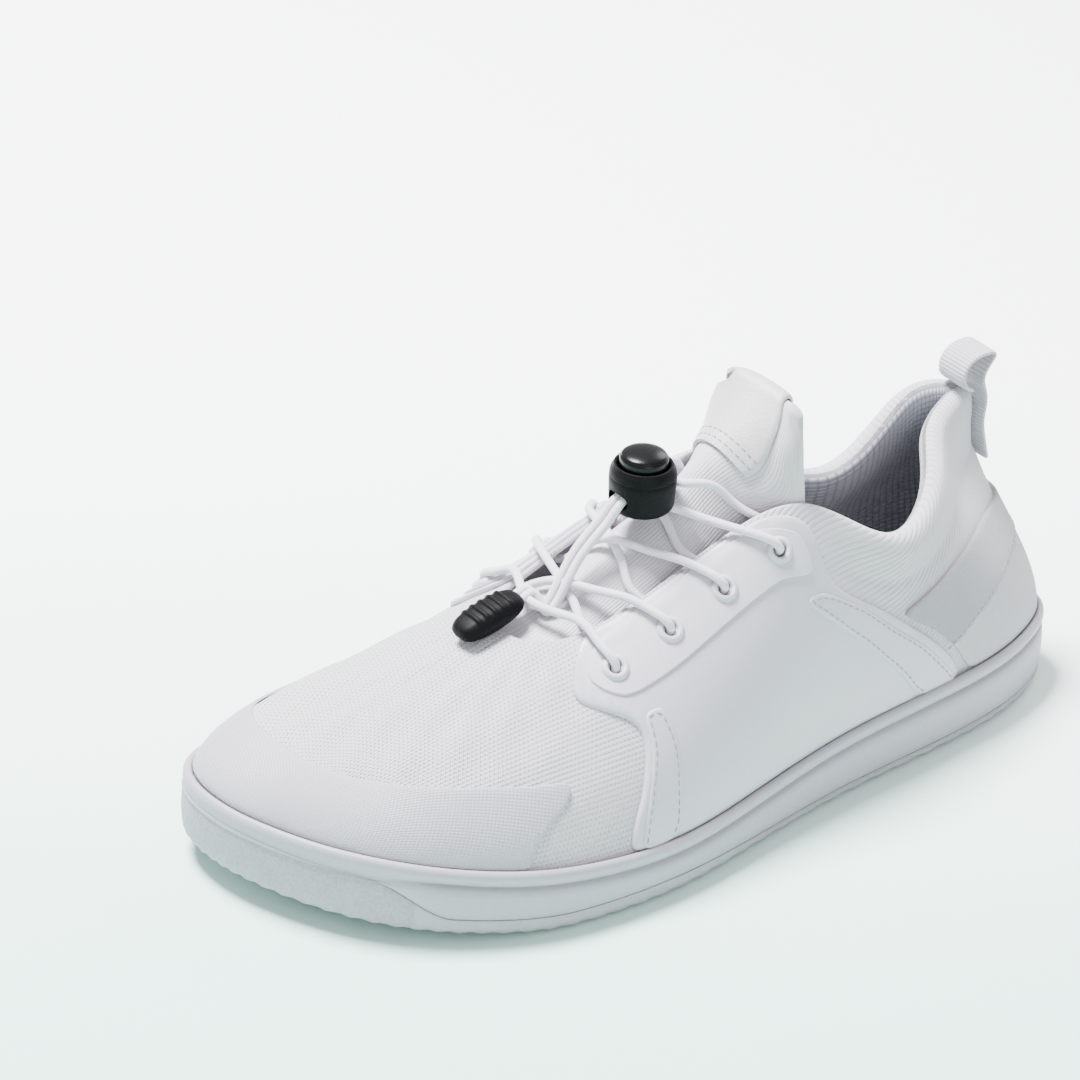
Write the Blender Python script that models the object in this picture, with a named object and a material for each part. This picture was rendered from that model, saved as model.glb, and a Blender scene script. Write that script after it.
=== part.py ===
"""Barefoot shoe, left: a hollow knitted upper on a cupped rubber sole.

Frame: +X to the toe, +Y to the lateral side, +Z up, metres. The origin is on the
floor, under the middle of the sole's length and width.
"""

import math
from collections import namedtuple

import bmesh
import bpy
import numpy as np
from mathutils import Matrix, Vector
from mathutils.geometry import delaunay_2d_cdt

MM = 0.001

# Sole
SOLE_LENGTH = 288 * MM
BALL_WIDTH = 112 * MM
HEEL_WIDTH = 72 * MM
EDGE_HEIGHT = 23.2 * MM      # bead top over the ground at the heel
TOE_SPRING = 7.4 * MM
LUG_HEIGHT = 1.8 * MM
OUTSOLE_BASE = 2.0 * MM      # rubber above the lugs
MIDSOLE_BASE = 3.8 * MM      # foam under the insole
INSOLE_THICKNESS = 3.0 * MM
GROOVE_DEPTH = 1.2 * MM
SIDE_INSET = 0.2 * MM        # bead and side wall inside the sole's outline
BEAD_HEIGHT = 5.2 * MM       # groove to bead top
BEAD_WIDTH = 3.3 * MM
PARTING_HEIGHT = 5.4 * MM    # outsole's upper edge at the ball
TOE_GUARD_HEIGHT = 15.5 * MM  # outsole's upper edge at the toe
KEY_PITCH = 16.5 * MM
KEY_SIZE = 10.6 * MM
WAVE_PITCH = 9.0 * MM
WAVE_WIDTH = 4.4 * MM
WAVE_SWING = 2.6 * MM
WAVE_LENGTH = 24 * MM
LUG_MARGIN = 5.0 * MM

# Upper
COLLAR_HEIGHT = 92 * MM      # top of the heel collar over the ground
UPPER_WALL = 2.0 * MM
COLLAR_PAD = 7.0 * MM
BEAD_OVERLAP = 4.0 * MM      # how far the upper reaches down inside the bead
SEAM_GAP = 0.3 * MM          # air between two pieces that meet
OVERLAY_GAP = 0.4 * MM       # air under an overlay

# Overlays
PANEL_THICKNESS = 1.1 * MM
PLATE_STEP = 0.7 * MM
TOE_CAP_THICKNESS = 0.8 * MM
COUNTER_THICKNESS = 0.9 * MM
EYELET_HOLE = 4.4 * MM
EYELET_WIDTH = 8.4 * MM
EYELET_HEIGHT = 1.1 * MM

# Tongue
TONGUE_THICKNESS = 4.0 * MM
TONGUE_LACE_ROOM = 5.7 * MM  # room for the lace between eyestay and tongue
TAB_THICKNESS = 1.2 * MM

# Pull loop
LOOP_WIDTH = 12 * MM
LOOP_THICKNESS = 1.4 * MM
LOOP_RISE = 13 * MM

# Lace, lock and clip
LACE_DIAMETER = 2.6 * MM
LOCK_DIAMETER = 20 * MM
LOCK_HEIGHT = 15 * MM
LOCK_BUTTON_DIAMETER = 14.5 * MM
LOCK_BUTTON_RISE = 3.6 * MM
CLIP_LENGTH = 23 * MM
CLIP_WIDTH = 11 * MM
CLIP_HEIGHT = 8 * MM

END_STEPS = 3                # facets between two stations round heel and toe
SIDE_STEPS = 2               # facets between two stations along the sides
SIDE_STATIONS = (3, 9)       # first and last station of the plainer lateral side

# One row for each station of the perimeter, from the heel along the lateral
# side to the toe and back along the medial side.
#   x, y, edge   sole outline as shares of length and local width, bead top as
#                a share of EDGE_HEIGHT
#   top_*        top line of the upper as shares of length, local width and
#                COLLAR_HEIGHT
#   rise, lean   the wall's first handle, up and outwards, in COLLAR_HEIGHT
#   reach, slope the wall's last handle, its length and its angle below level
Station = namedtuple("Station", "x y edge top_x top_y top_z rise lean reach slope")
STATIONS = [
    Station(0.000, 0.000, 1.004, 0.062, -0.083, 1.000, 0.261, 0.033, 0.261, 98),
    Station(0.006, 0.260, 1.009, 0.090, -0.028, 0.984, 0.261, 0.027, 0.261, 92),
    Station(0.059, 0.436, 1.004, 0.132, 0.056, 0.940, 0.261, 0.016, 0.239, 82),
    Station(0.139, 0.540, 0.987, 0.174, 0.249, 0.859, 0.239, 0.011, 0.196, 76),
    Station(0.252, 0.564, 0.974, 0.257, 0.365, 0.788, 0.196, 0.005, 0.185, 76),
    Station(0.372, 0.525, 0.922, 0.361, 0.263, 0.978, 0.261, 0.005, 0.261, 62),
    Station(0.491, 0.513, 0.819, 0.444, 0.164, 0.940, 0.283, 0.000, 0.261, 36),
    Station(0.594, 0.523, 0.767, 0.521, 0.147, 0.848, 0.239, 0.000, 0.283, 30),
    Station(0.686, 0.522, 0.810, 0.597, 0.135, 0.766, 0.207, 0.000, 0.304, 27),
    Station(0.773, 0.489, 0.896, 0.646, 0.107, 0.723, 0.185, 0.005, 0.348, 24),
    Station(0.846, 0.411, 0.930, 0.667, 0.071, 0.712, 0.174, 0.016, 0.391, 20),
    Station(0.905, 0.304, 0.955, 0.679, 0.036, 0.707, 0.163, 0.027, 0.457, 17),
    Station(0.955, 0.147, 0.942, 0.684, 0.000, 0.707, 0.152, 0.033, 0.500, 15),
    Station(0.988, -0.036, 0.916, 0.686, -0.036, 0.707, 0.152, 0.033, 0.522, 14),
    Station(1.000, -0.179, 0.905, 0.686, -0.062, 0.707, 0.152, 0.033, 0.522, 15),
    Station(0.994, -0.321, 0.907, 0.682, -0.089, 0.707, 0.163, 0.033, 0.500, 17),
    Station(0.955, -0.430, 0.933, 0.675, -0.121, 0.710, 0.196, 0.027, 0.435, 20),
    Station(0.878, -0.471, 0.966, 0.661, -0.152, 0.717, 0.217, 0.016, 0.370, 24),
    Station(0.790, -0.477, 1.005, 0.637, -0.170, 0.734, 0.228, 0.011, 0.304, 27),
    Station(0.703, -0.457, 1.009, 0.606, -0.180, 0.766, 0.239, 0.005, 0.261, 30),
    Station(0.599, -0.402, 1.000, 0.535, -0.192, 0.848, 0.283, 0.000, 0.217, 36),
    Station(0.495, -0.360, 1.000, 0.458, -0.212, 0.940, 0.326, 0.000, 0.196, 45),
    Station(0.374, -0.362, 1.000, 0.365, -0.251, 0.978, 0.283, 0.000, 0.217, 62),
    Station(0.252, -0.422, 1.000, 0.247, -0.270, 0.788, 0.196, 0.005, 0.185, 76),
    Station(0.141, -0.464, 1.000, 0.167, -0.284, 0.848, 0.217, 0.011, 0.196, 78),
    Station(0.062, -0.392, 1.000, 0.118, -0.271, 0.973, 0.261, 0.016, 0.239, 86),
    Station(0.016, -0.222, 1.004, 0.076, -0.201, 1.000, 0.261, 0.027, 0.261, 94),
]
COUNT = len(STATIONS)

# Overlay outlines on the upper: station along the perimeter, share up the
# wall. A share of 0 is laid on the top of the bead.
Edge = namedtuple("Edge", "station share")
PANEL_OUTLINE = [
    Edge(3.40, 0), Edge(3.90, 0), Edge(4.40, 0), Edge(4.90, 0), Edge(5.40, 0), Edge(5.90, 0),
    Edge(6.40, 0), Edge(6.90, 0), Edge(7.40, 0), Edge(7.86, 0), Edge(7.80, 0.19), Edge(7.67, 0.31),
    Edge(7.62, 0.43), Edge(7.66, 0.52), Edge(7.84, 0.59), Edge(8.20, 0.66), Edge(8.62, 0.73),
    Edge(8.76, 0.78), Edge(8.77, 0.85), Edge(8.68, 0.94), Edge(8.50, 0.98), Edge(8.00, 0.98),
    Edge(7.50, 0.98), Edge(7.00, 0.98), Edge(6.50, 0.98), Edge(6.00, 0.98), Edge(5.66, 0.98),
    Edge(5.32, 0.955), Edge(5.14, 0.92), Edge(5.07, 0.86), Edge(5.02, 0.76), Edge(4.94, 0.69),
    Edge(4.75, 0.645), Edge(4.41, 0.605), Edge(4.10, 0.525), Edge(3.83, 0.403), Edge(3.58, 0.24),
]
PLATE_OUTLINE = [
    Edge(7.84, 0.665), Edge(8.22, 0.73), Edge(8.50, 0.80), Edge(8.46, 0.90), Edge(8.00, 0.955),
    Edge(7.00, 0.955), Edge(6.00, 0.955), Edge(5.60, 0.93), Edge(5.27, 0.885), Edge(5.20, 0.82),
    Edge(5.17, 0.72), Edge(5.54, 0.735), Edge(5.85, 0.71), Edge(6.25, 0.688), Edge(7.05, 0.670),
]
TOE_CAP_OUTLINE = [
    Edge(9.20, 0), Edge(9.7, 0), Edge(10.2, 0), Edge(10.7, 0), Edge(11.2, 0), Edge(11.7, 0),
    Edge(12.2, 0), Edge(12.7, 0), Edge(13.2, 0), Edge(13.7, 0), Edge(14.2, 0), Edge(14.7, 0),
    Edge(15.2, 0), Edge(15.7, 0), Edge(16.2, 0), Edge(16.7, 0), Edge(17.2, 0), Edge(17.75, 0),
    Edge(17.92, 0.23), Edge(18.15, 0.30), Edge(18.20, 0.36), Edge(17.95, 0.385), Edge(17.4, 0.375),
    Edge(16.9, 0.36), Edge(16.34, 0.352), Edge(15.95, 0.366), Edge(15.3, 0.40), Edge(14.6, 0.423),
    Edge(13.8, 0.424), Edge(12.9, 0.418), Edge(12.2, 0.425), Edge(11.6, 0.441), Edge(11.0, 0.452),
    Edge(10.3, 0.457), Edge(9.6, 0.459), Edge(9.05, 0.457), Edge(8.80, 0.452), Edge(8.69, 0.416),
    Edge(8.74, 0.36), Edge(8.92, 0.305), Edge(9.09, 0.22), Edge(9.18, 0.13),
]
# The counter's lateral half; the medial half is its mirror image.
COUNTER_OUTLINE = [
    Edge(0.0, 0), Edge(0.5, 0), Edge(1.0, 0), Edge(1.5, 0), Edge(2.0, 0), Edge(2.5, 0),
    Edge(3.0, 0), Edge(3.28, 0), Edge(3.46, 0.24), Edge(3.70, 0.40), Edge(3.94, 0.50),
    Edge(4.10, 0.565), Edge(3.74, 0.61), Edge(3.27, 0.615), Edge(2.46, 0.573), Edge(1.52, 0.55),
    Edge(0.8, 0.535), Edge(0.0, 0.53),
]
EYELETS = [Edge(8.03, 0.792), Edge(7.18, 0.803), Edge(6.33, 0.804), Edge(5.55, 0.838)]

# Tongue rows from the end under the vamp to its top. The row spans from the
# lateral station to its mirror image at a share up the wall.
#   drop    room under the upper
#   lift    height that the ends rise over the wall, in COLLAR_HEIGHT
#   narrow  share by which the ends draw together
#   flat    how flat the crest is
#   crest_* middle of the row, in SOLE_LENGTH, BALL_WIDTH and COLLAR_HEIGHT
TongueRow = namedtuple("TongueRow", "station share drop lift narrow flat crest_x crest_y crest_z")
TONGUE_ROWS = [
    TongueRow(10.0, 0.86, SEAM_GAP, 0, 0, 0.80, 0.700, -0.033, 0.648),
    TongueRow(9.2, 0.86, SEAM_GAP, 0, 0, 0.80, 0.673, -0.030, 0.672),
    TongueRow(8.5, 0.88, TONGUE_LACE_ROOM * 0.7, 0, 0, 0.60, 0.640, -0.026, 0.700),
    TongueRow(7.7, 0.87, TONGUE_LACE_ROOM, 0, 0.02, 0.30, 0.590, -0.020, 0.780),
    TongueRow(6.9, 0.87, TONGUE_LACE_ROOM, 0, 0.03, 0.30, 0.532, -0.016, 0.885),
    TongueRow(6.2, 0.88, TONGUE_LACE_ROOM, 0, 0.06, 0.30, 0.489, -0.014, 0.960),
    TongueRow(5.45, 0.90, TONGUE_LACE_ROOM, 0, 0.11, 0.30, 0.446, -0.012, 1.070),
    TongueRow(5.25, 0.915, TONGUE_LACE_ROOM * 0.6, 0, 0.08, 0.55, 0.431, -0.011, 1.105),
    TongueRow(5.05, 0.93, SEAM_GAP * 2, 0, 0.05, 0.65, 0.416, -0.010, 1.142),
    TongueRow(5.05, 0.93, SEAM_GAP * 2, 0.16, 0.05, 0.80, 0.395, -0.010, 1.195),
    TongueRow(5.05, 0.93, SEAM_GAP * 2, 0.27, 0.08, 0.90, 0.379, -0.012, 1.238),
    TongueRow(5.05, 0.93, SEAM_GAP * 2, 0.345, 0.13, 0.92, 0.367, -0.014, 1.272),
]
TAB_FIRST_ROW = 7    # row of the tongue where the tab starts


def smooth(value):
    """Ease from 0 to 1."""
    value = np.clip(value, 0, 1)
    return value * value * (3 - 2 * value)


def local_width(x):
    """Named width that a section at x follows."""
    return HEEL_WIDTH + (BALL_WIDTH - HEEL_WIDTH) * smooth((x / SOLE_LENGTH - 0.15) / 0.5)


def ground(x):
    """Height of the sole's underside over the floor: the toe spring."""
    start = 0.745
    return TOE_SPRING * np.clip((x / SOLE_LENGTH - start) / (1 - start), 0, None) ** 1.3


def closed_spline(rows, stations):
    """Smooth closed curve through the rows, read at station numbers."""
    rows = np.asarray(rows, float)
    count = len(rows)
    index = np.arange(count)
    system = np.zeros((count, count))
    system[index, index] = 4
    system[index, (index + 1) % count] = 1
    system[index, (index - 1) % count] = 1
    bend = np.linalg.solve(system, 6 * (np.roll(rows, 1, 0) - 2 * rows + np.roll(rows, -1, 0)))
    stations = np.asarray(stations, float) % count
    low = np.floor(stations).astype(int) % count
    high = (low + 1) % count
    t = (stations - np.floor(stations))[..., None]
    s = 1 - t
    return rows[low] * s + rows[high] * t + ((s**3 - s) * bend[low] + (t**3 - t) * bend[high]) / 6


def station_sizes():
    """Turn the table's shares into metres."""
    table = np.array(STATIONS, float)
    x = table[:, 0] * SOLE_LENGTH
    top_x = table[:, 3] * SOLE_LENGTH
    sole = np.column_stack([x, table[:, 1] * local_width(x), ground(x) + table[:, 2] * EDGE_HEIGHT])
    wall = np.column_stack([top_x, table[:, 4] * local_width(top_x), table[:, 5] * COLLAR_HEIGHT,
                            table[:, 6:9] * COLLAR_HEIGHT, np.radians(table[:, 9])])
    return sole, wall


SOLE_ROWS, WALL_ROWS = station_sizes()


def outline(stations, inset):
    """Sole outline moved inwards: points in plan, bead height and outward normal."""
    stations = np.asarray(stations, float)
    here = closed_spline(SOLE_ROWS, stations)
    step = 1e-3
    along = (closed_spline(SOLE_ROWS, stations + step) - closed_spline(SOLE_ROWS, stations - step))[..., :2]
    along /= np.linalg.norm(along, axis=-1, keepdims=True)
    outward = np.stack([-along[..., 1], along[..., 0]], -1)
    return here[..., :2] - outward * np.asarray(inset)[..., None], here[..., 2], outward


def wall_point(stations, share):
    """Outer face of the upper at a station and a share up its wall."""
    stations, share = np.broadcast_arrays(np.asarray(stations, float), np.asarray(share, float))
    plan, edge, outward = outline(stations, np.full(stations.shape, BEAD_WIDTH + SEAM_GAP))
    foot = np.concatenate([plan, (edge - BEAD_OVERLAP)[..., None]], -1)
    rows = closed_spline(WALL_ROWS, stations)
    top, rise, lean, reach, slope = np.split(rows, [3, 4, 5, 6], -1)
    first = foot + np.concatenate([outward * lean, rise], -1)
    spread = foot[..., :2] - top[..., :2]
    spread /= np.linalg.norm(spread, axis=-1, keepdims=True)
    last = top + reach * np.concatenate([spread * np.cos(slope), -np.sin(slope)], -1)
    v = share[..., None]
    w = 1 - v
    return foot * w**3 + 3 * first * w * w * v + 3 * last * w * v * v + top * v**3


def wall_normal(stations, share):
    """Outward normal of the upper's outer face."""
    step = 1e-3
    share = np.clip(share, step, 1 - step)
    along = wall_point(stations + step, share) - wall_point(stations - step, share)
    up = wall_point(stations, share + step) - wall_point(stations, share - step)
    normal = np.cross(up, along)
    return normal / np.linalg.norm(normal, axis=-1, keepdims=True)


def on_wall(stations, share, height):
    """Point at a height over the upper's outer face."""
    stations, share = np.broadcast_arrays(np.asarray(stations, float), np.asarray(share, float))
    return wall_point(stations, share) + wall_normal(stations, share) * np.asarray(height)[..., None]


def bead_share(station):
    """Share up the wall at which an overlay clears the top of the bead."""
    plan, edge, outward = outline(np.array([station]), np.zeros(1))
    low, high = 0.0, 0.4
    for _ in range(24):
        middle = (low + high) / 2
        if wall_point(np.array([station]), middle)[0, 2] < edge[0] + SEAM_GAP:
            low = middle
        else:
            high = middle
    return high


def mirrored(edges):
    """The same outline on the other side of the shoe."""
    return [Edge(COUNT - edge.station, edge.share) for edge in reversed(edges)]


# Meshes

def new_object(name, mesh, material):
    """Link a finished mesh with its material."""
    mesh.materials.append(material)
    obj = bpy.data.objects.new(name, mesh)
    bpy.context.collection.objects.link(obj)
    return obj


def mesh_from(name, points, faces):
    """Closed mesh with its faces turned outwards and shaded smooth."""
    bm = bmesh.new()
    verts = [bm.verts.new(Vector(point)) for point in points]
    for face in faces:
        bm.faces.new([verts[i] for i in face])
    bmesh.ops.recalc_face_normals(bm, faces=bm.faces)
    if bm.calc_volume(signed=True) < 0:
        bmesh.ops.reverse_faces(bm, faces=bm.faces)
    mesh = bpy.data.meshes.new(name)
    bm.to_mesh(mesh)
    bm.free()
    mesh.shade_smooth()
    mesh.set_sharp_from_angle(angle=math.radians(40))
    return mesh


def ring_faces(rings, count, closed):
    """Quads between rings of equal count, and from the last to the first if closed."""
    faces = []
    pairs = range(rings if closed else rings - 1)
    for ring in pairs:
        a, b = ring * count, (ring + 1) % rings * count
        for i in range(count):
            j = (i + 1) % count
            faces.append((a + i, a + j, b + j, b + i))
    return faces


def ladder_faces(start, count):
    """Fill a ring with rungs that join the lateral side to the medial side."""
    faces = [(start, start + 1, start + count - 1)]
    for i in range(1, (count - 1) // 2):
        faces.append((start + i, start + i + 1, start + count - i - 1, start + count - i))
    return faces


def perimeter():
    """Station numbers of the facets round the shoe, the same on both sides."""
    first, last = SIDE_STATIONS
    stations = []
    for start in range(COUNT):
        on_side = first <= start < last or COUNT - last <= start < COUNT - first
        steps = SIDE_STEPS if on_side else END_STEPS
        stations += [start + step / steps for step in range(steps)]
    return np.array(stations)


def ring(inset, height):
    """Ring of points at an inset from the sole outline and a height."""
    stations = perimeter()
    plan, edge, outward = outline(stations, np.broadcast_to(inset, stations.shape))
    return np.column_stack([plan, np.broadcast_to(height, stations.shape)])


def ring_ground(inset):
    """Height of the sole's underside below a ring."""
    plan, edge, outward = outline(perimeter(), np.broadcast_to(inset, perimeter().shape))
    return ground(plan[:, 0])


def add_cutter(name, mesh):
    """Object that only cuts another."""
    cutter = bpy.data.objects.new(name, mesh)
    bpy.context.collection.objects.link(cutter)
    cutter.hide_render = True
    cutter.display_type = "WIRE"
    return cutter


def add_boolean(obj, cutter, operation):
    """Cut or join with the exact solver."""
    modifier = obj.modifiers.new(cutter.name, "BOOLEAN")
    modifier.operation = operation
    modifier.object = cutter
    modifier.solver = "EXACT"


def material(name, color, roughness, metallic=0.0):
    """Plain Principled material."""
    made = bpy.data.materials.new(name)
    made.use_nodes = True
    shader = made.node_tree.nodes["Principled BSDF"]
    shader.inputs["Base Color"].default_value = (*color, 1)
    shader.inputs["Roughness"].default_value = roughness
    shader.inputs["Metallic"].default_value = metallic
    return made


# Sole

def toe_share(stations):
    """1 along the front of the toe, 0 behind the ball."""
    x = closed_spline(SOLE_ROWS, stations)[:, 0] / SOLE_LENGTH
    return smooth((x - 0.86) / 0.07)


def parting_height():
    """Height of the outsole's upper edge along the side."""
    stations = perimeter()
    x = closed_spline(SOLE_ROWS, stations)[:, 0] / SOLE_LENGTH
    rear = OUTSOLE_BASE + LUG_HEIGHT
    side = rear + (PARTING_HEIGHT - rear) * smooth((x - 0.45) / 0.2)
    return ring_ground(0) + side + (TOE_GUARD_HEIGHT - side) * toe_share(stations)


def edge_height():
    """Height of the bead top round the shoe."""
    return closed_spline(SOLE_ROWS, perimeter())[:, 2]


def build_outsole():
    """Tread plate with a turned-up rim; its lugs are joined on by Booleans."""
    base = LUG_HEIGHT + OUTSOLE_BASE
    parting = parting_height()
    turn_up = np.maximum(parting - ring_ground(0) - base, 0)
    rings = [
        ring(3.4 * MM, ring_ground(3.4 * MM) + LUG_HEIGHT),
        ring(2.2 * MM, ring_ground(2.2 * MM) + LUG_HEIGHT * 0.35),
        ring(0.8 * MM, ring_ground(0.8 * MM) + LUG_HEIGHT),
        ring(0.25 * MM, parting),
        ring(3.4 * MM, parting),
        ring(4.2 * MM, ring_ground(4.2 * MM) + base + turn_up * 0.25),
        ring(6.0 * MM, ring_ground(6.0 * MM) + base),
    ]
    count = len(rings[0])
    points = np.concatenate(rings)
    faces = ring_faces(len(rings), count, False)
    faces += ladder_faces(0, count) + ladder_faces((len(rings) - 1) * count, count)
    rubber = material("outsole_rubber", (0.80, 0.80, 0.81), 0.6)
    outsole = new_object("outsole", mesh_from("outsole", points, faces), rubber)
    add_boolean(outsole, add_cutter("key_lugs", key_lugs()), "UNION")
    add_boolean(outsole, add_cutter("wave_lugs", wave_lugs()), "UNION")
    return outsole


def inside_tread(x, y, margin):
    """Whether a point lies within the tread's outline."""
    plan, edge, outward = outline(np.arange(0, COUNT, 0.1), np.full(COUNT * 10, margin))
    ahead = np.roll(plan, -1, 0)
    crosses = (plan[:, 1] > y) != (ahead[:, 1] > y)
    with np.errstate(divide="ignore", invalid="ignore"):
        at = plan[:, 0] + (y - plan[:, 1]) / (ahead[:, 1] - plan[:, 1]) * (ahead[:, 0] - plan[:, 0])
    return np.count_nonzero(crosses & (x < at)) % 2 == 1


def prism(bm, corners):
    """Lug between the ground and the tread plate."""
    top = LUG_HEIGHT + OUTSOLE_BASE * 0.4
    low = [bm.verts.new((x, y, float(ground(x)))) for x, y in corners]
    high = [bm.verts.new((x, y, float(ground(x)) + top)) for x, y in corners]
    count = len(corners)
    bm.faces.new(list(reversed(low)))
    bm.faces.new(high)
    for i in range(count):
        j = (i + 1) % count
        bm.faces.new((low[i], low[j], high[j], high[i]))


def key_lugs():
    """Square lugs on a grid turned by 45 degrees, off the medial arch."""
    bm = bmesh.new()
    half = KEY_SIZE / 2
    step = KEY_PITCH / math.sqrt(2)
    columns = int(SOLE_LENGTH / step)
    rows = int(BALL_WIDTH / step)
    for column in range(columns):
        for row in range(-rows, rows + 1):
            if (column + row) % 2:
                continue
            x = SOLE_LENGTH * 0.19 + column * step
            y = row * step
            if x > SOLE_LENGTH * 0.80:
                continue
            on_arch = 0.30 < x / SOLE_LENGTH < 0.58 and y < -local_width(x) * 0.20
            if on_arch or not inside_tread(x, y, LUG_MARGIN + half):
                continue
            reach = half * math.sqrt(2)
            prism(bm, [(x + reach, y), (x, y + reach), (x - reach, y), (x, y - reach)])
    mesh = bpy.data.meshes.new("key_lugs")
    bm.to_mesh(mesh)
    bm.free()
    return mesh


def wave_bar(bm, x):
    """One wavy bar across the tread at x."""
    step = WAVE_LENGTH / 4
    tries = int(BALL_WIDTH / step)
    inside = []
    for i in range(-tries, tries + 1):
        y = i * step
        middle = x + WAVE_SWING * math.sin(2 * math.pi * y / WAVE_LENGTH)
        if inside_tread(middle, y, LUG_MARGIN):
            inside.append((middle, y))
    if len(inside) < 4:
        return
    half = WAVE_WIDTH / 2
    front = [(px + half, py) for px, py in inside]
    back = [(px - half, py) for px, py in reversed(inside)]
    low, high = [], []
    top = LUG_HEIGHT + OUTSOLE_BASE * 0.4
    for px, py in front + back:
        low.append(bm.verts.new((px, py, float(ground(px)))))
        high.append(bm.verts.new((px, py, float(ground(px)) + top)))
    count = len(low)
    half_count = count // 2
    for i in range(half_count - 1):
        k = count - 1 - i
        bm.faces.new((low[i], low[k], low[k - 1], low[i + 1]))
        bm.faces.new((high[i], high[i + 1], high[k - 1], high[k]))
    for i in range(count):
        j = (i + 1) % count
        bm.faces.new((low[i], low[j], high[j], high[i]))


def wave_lugs():
    """Wavy bars under the toe and the heel."""
    bm = bmesh.new()
    heel_bars = int(SOLE_LENGTH * 0.13 / WAVE_PITCH)
    toe_bars = int(SOLE_LENGTH * 0.14 / WAVE_PITCH)
    for i in range(heel_bars):
        wave_bar(bm, SOLE_LENGTH * 0.035 + (i + 0.5) * WAVE_PITCH)
    for i in range(toe_bars):
        wave_bar(bm, SOLE_LENGTH * 0.975 - (i + 0.7) * WAVE_PITCH)
    bmesh.ops.recalc_face_normals(bm, faces=bm.faces)
    mesh = bpy.data.meshes.new("wave_lugs")
    bm.to_mesh(mesh)
    bm.free()
    return mesh


def footbed_height(inset):
    """Height of the footbed below a ring."""
    return ring_ground(inset) + LUG_HEIGHT + OUTSOLE_BASE + SEAM_GAP + MIDSOLE_BASE


def basin_inset():
    """Inset of the footbed's wall."""
    return BEAD_WIDTH + SEAM_GAP * 2 + UPPER_WALL + 0.6 * MM


def build_midsole():
    """Cup with side wall, groove, bead, a ledge for the upper and a footbed."""
    edge = edge_height()
    parting = parting_height()
    low = parting + SEAM_GAP
    groove = edge - BEAD_HEIGHT
    depth = GROOVE_DEPTH * (1 - toe_share(perimeter())) + 0.1 * MM
    base = LUG_HEIGHT + OUTSOLE_BASE
    turn_up = np.maximum(parting - ring_ground(0) - base, 0)
    ledge = edge - BEAD_OVERLAP - SEAM_GAP
    floor_inset = basin_inset()
    rings = [
        ring(6.0 * MM + SEAM_GAP, ring_ground(6.0 * MM) + base + SEAM_GAP),
        ring(4.2 * MM + SEAM_GAP, ring_ground(4.2 * MM) + base + turn_up * 0.25 + SEAM_GAP),
        ring(3.4 * MM + SEAM_GAP, low),
        ring(0.25 * MM, low),
        ring(0.3 * MM, groove - 0.9 * MM),
        ring(0.3 * MM + depth, groove),
        ring(SIDE_INSET, groove + 1.2 * MM),
        ring(SIDE_INSET, edge - BEAD_HEIGHT * 0.30),
        ring(BEAD_WIDTH * 0.5, edge),
        ring(BEAD_WIDTH, edge - 1.1 * MM),
        ring(BEAD_WIDTH, ledge),
        ring(floor_inset, ledge),
        ring(floor_inset, footbed_height(floor_inset)),
    ]
    count = len(rings[0])
    faces = ring_faces(len(rings), count, False)
    faces += ladder_faces(0, count) + ladder_faces((len(rings) - 1) * count, count)
    foam = material("midsole_foam", (0.82, 0.82, 0.83), 0.5)
    return new_object("midsole", mesh_from("midsole", np.concatenate(rings), faces), foam)


def build_insole():
    """Loose sheet on the footbed."""
    inset = basin_inset() + 0.5 * MM
    low = footbed_height(inset) + SEAM_GAP
    rings = [ring(inset, low), ring(inset, low + INSOLE_THICKNESS)]
    count = len(rings[0])
    faces = ring_faces(2, count, False) + ladder_faces(0, count) + ladder_faces(count, count)
    cloth = material("insole_cloth", (0.25, 0.26, 0.27), 0.9)
    return new_object("insole", mesh_from("insole", np.concatenate(rings), faces), cloth)


# Upper

OUTER_SHARES = [0, 0.15, 0.32, 0.48, 0.64, 0.79, 0.92, 1.0]
INNER_SHARES = [1.0, 0.92, 0.79, 0.58, 0.32, 0]


def collar_share(stations):
    """1 along the padded collar, 0 along the throat and the vamp."""
    x = closed_spline(WALL_ROWS, stations)[:, 0] / SOLE_LENGTH
    return 1 - smooth((x - 0.31) / 0.07)


def wall_thickness(stations, share):
    """Wall of the upper, thicker where the collar is padded and rounded at its rim."""
    pad = (COLLAR_PAD - UPPER_WALL) * collar_share(stations) * smooth((share - 0.45) / 0.4)
    full = UPPER_WALL + pad
    rim = np.clip((share - 0.86) / 0.14, 0, 1)
    return np.where(collar_share(stations) > 0.02, full * np.sqrt(1 - 0.80 * rim**2), full)


def build_upper():
    """Hollow wall between its outer and inner faces, open above and below."""
    stations = perimeter()
    rings = [on_wall(stations, share, 0.0) for share in OUTER_SHARES]
    for share in INNER_SHARES:
        rings.append(on_wall(stations, share, -wall_thickness(stations, share)))
    count = len(stations)
    knit = material("upper_knit", (0.86, 0.86, 0.87), 0.85)
    mesh = mesh_from("upper", np.concatenate(rings), ring_faces(len(rings), count, True))
    return new_object("upper", mesh, knit)


# Overlays

def point_inside(point, loop):
    """Even-odd test of a point against a closed loop."""
    inside = False
    for i in range(len(loop)):
        (ax, ay), (bx, by) = loop[i - 1], loop[i]
        if (ay > point[1]) != (by > point[1]) and point[0] < (bx - ax) * (point[1] - ay) / (by - ay) + ax:
            inside = not inside
    return inside


FLAT = np.array([24.0, 70.0])   # millimetres for one station and for the whole wall


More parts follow.
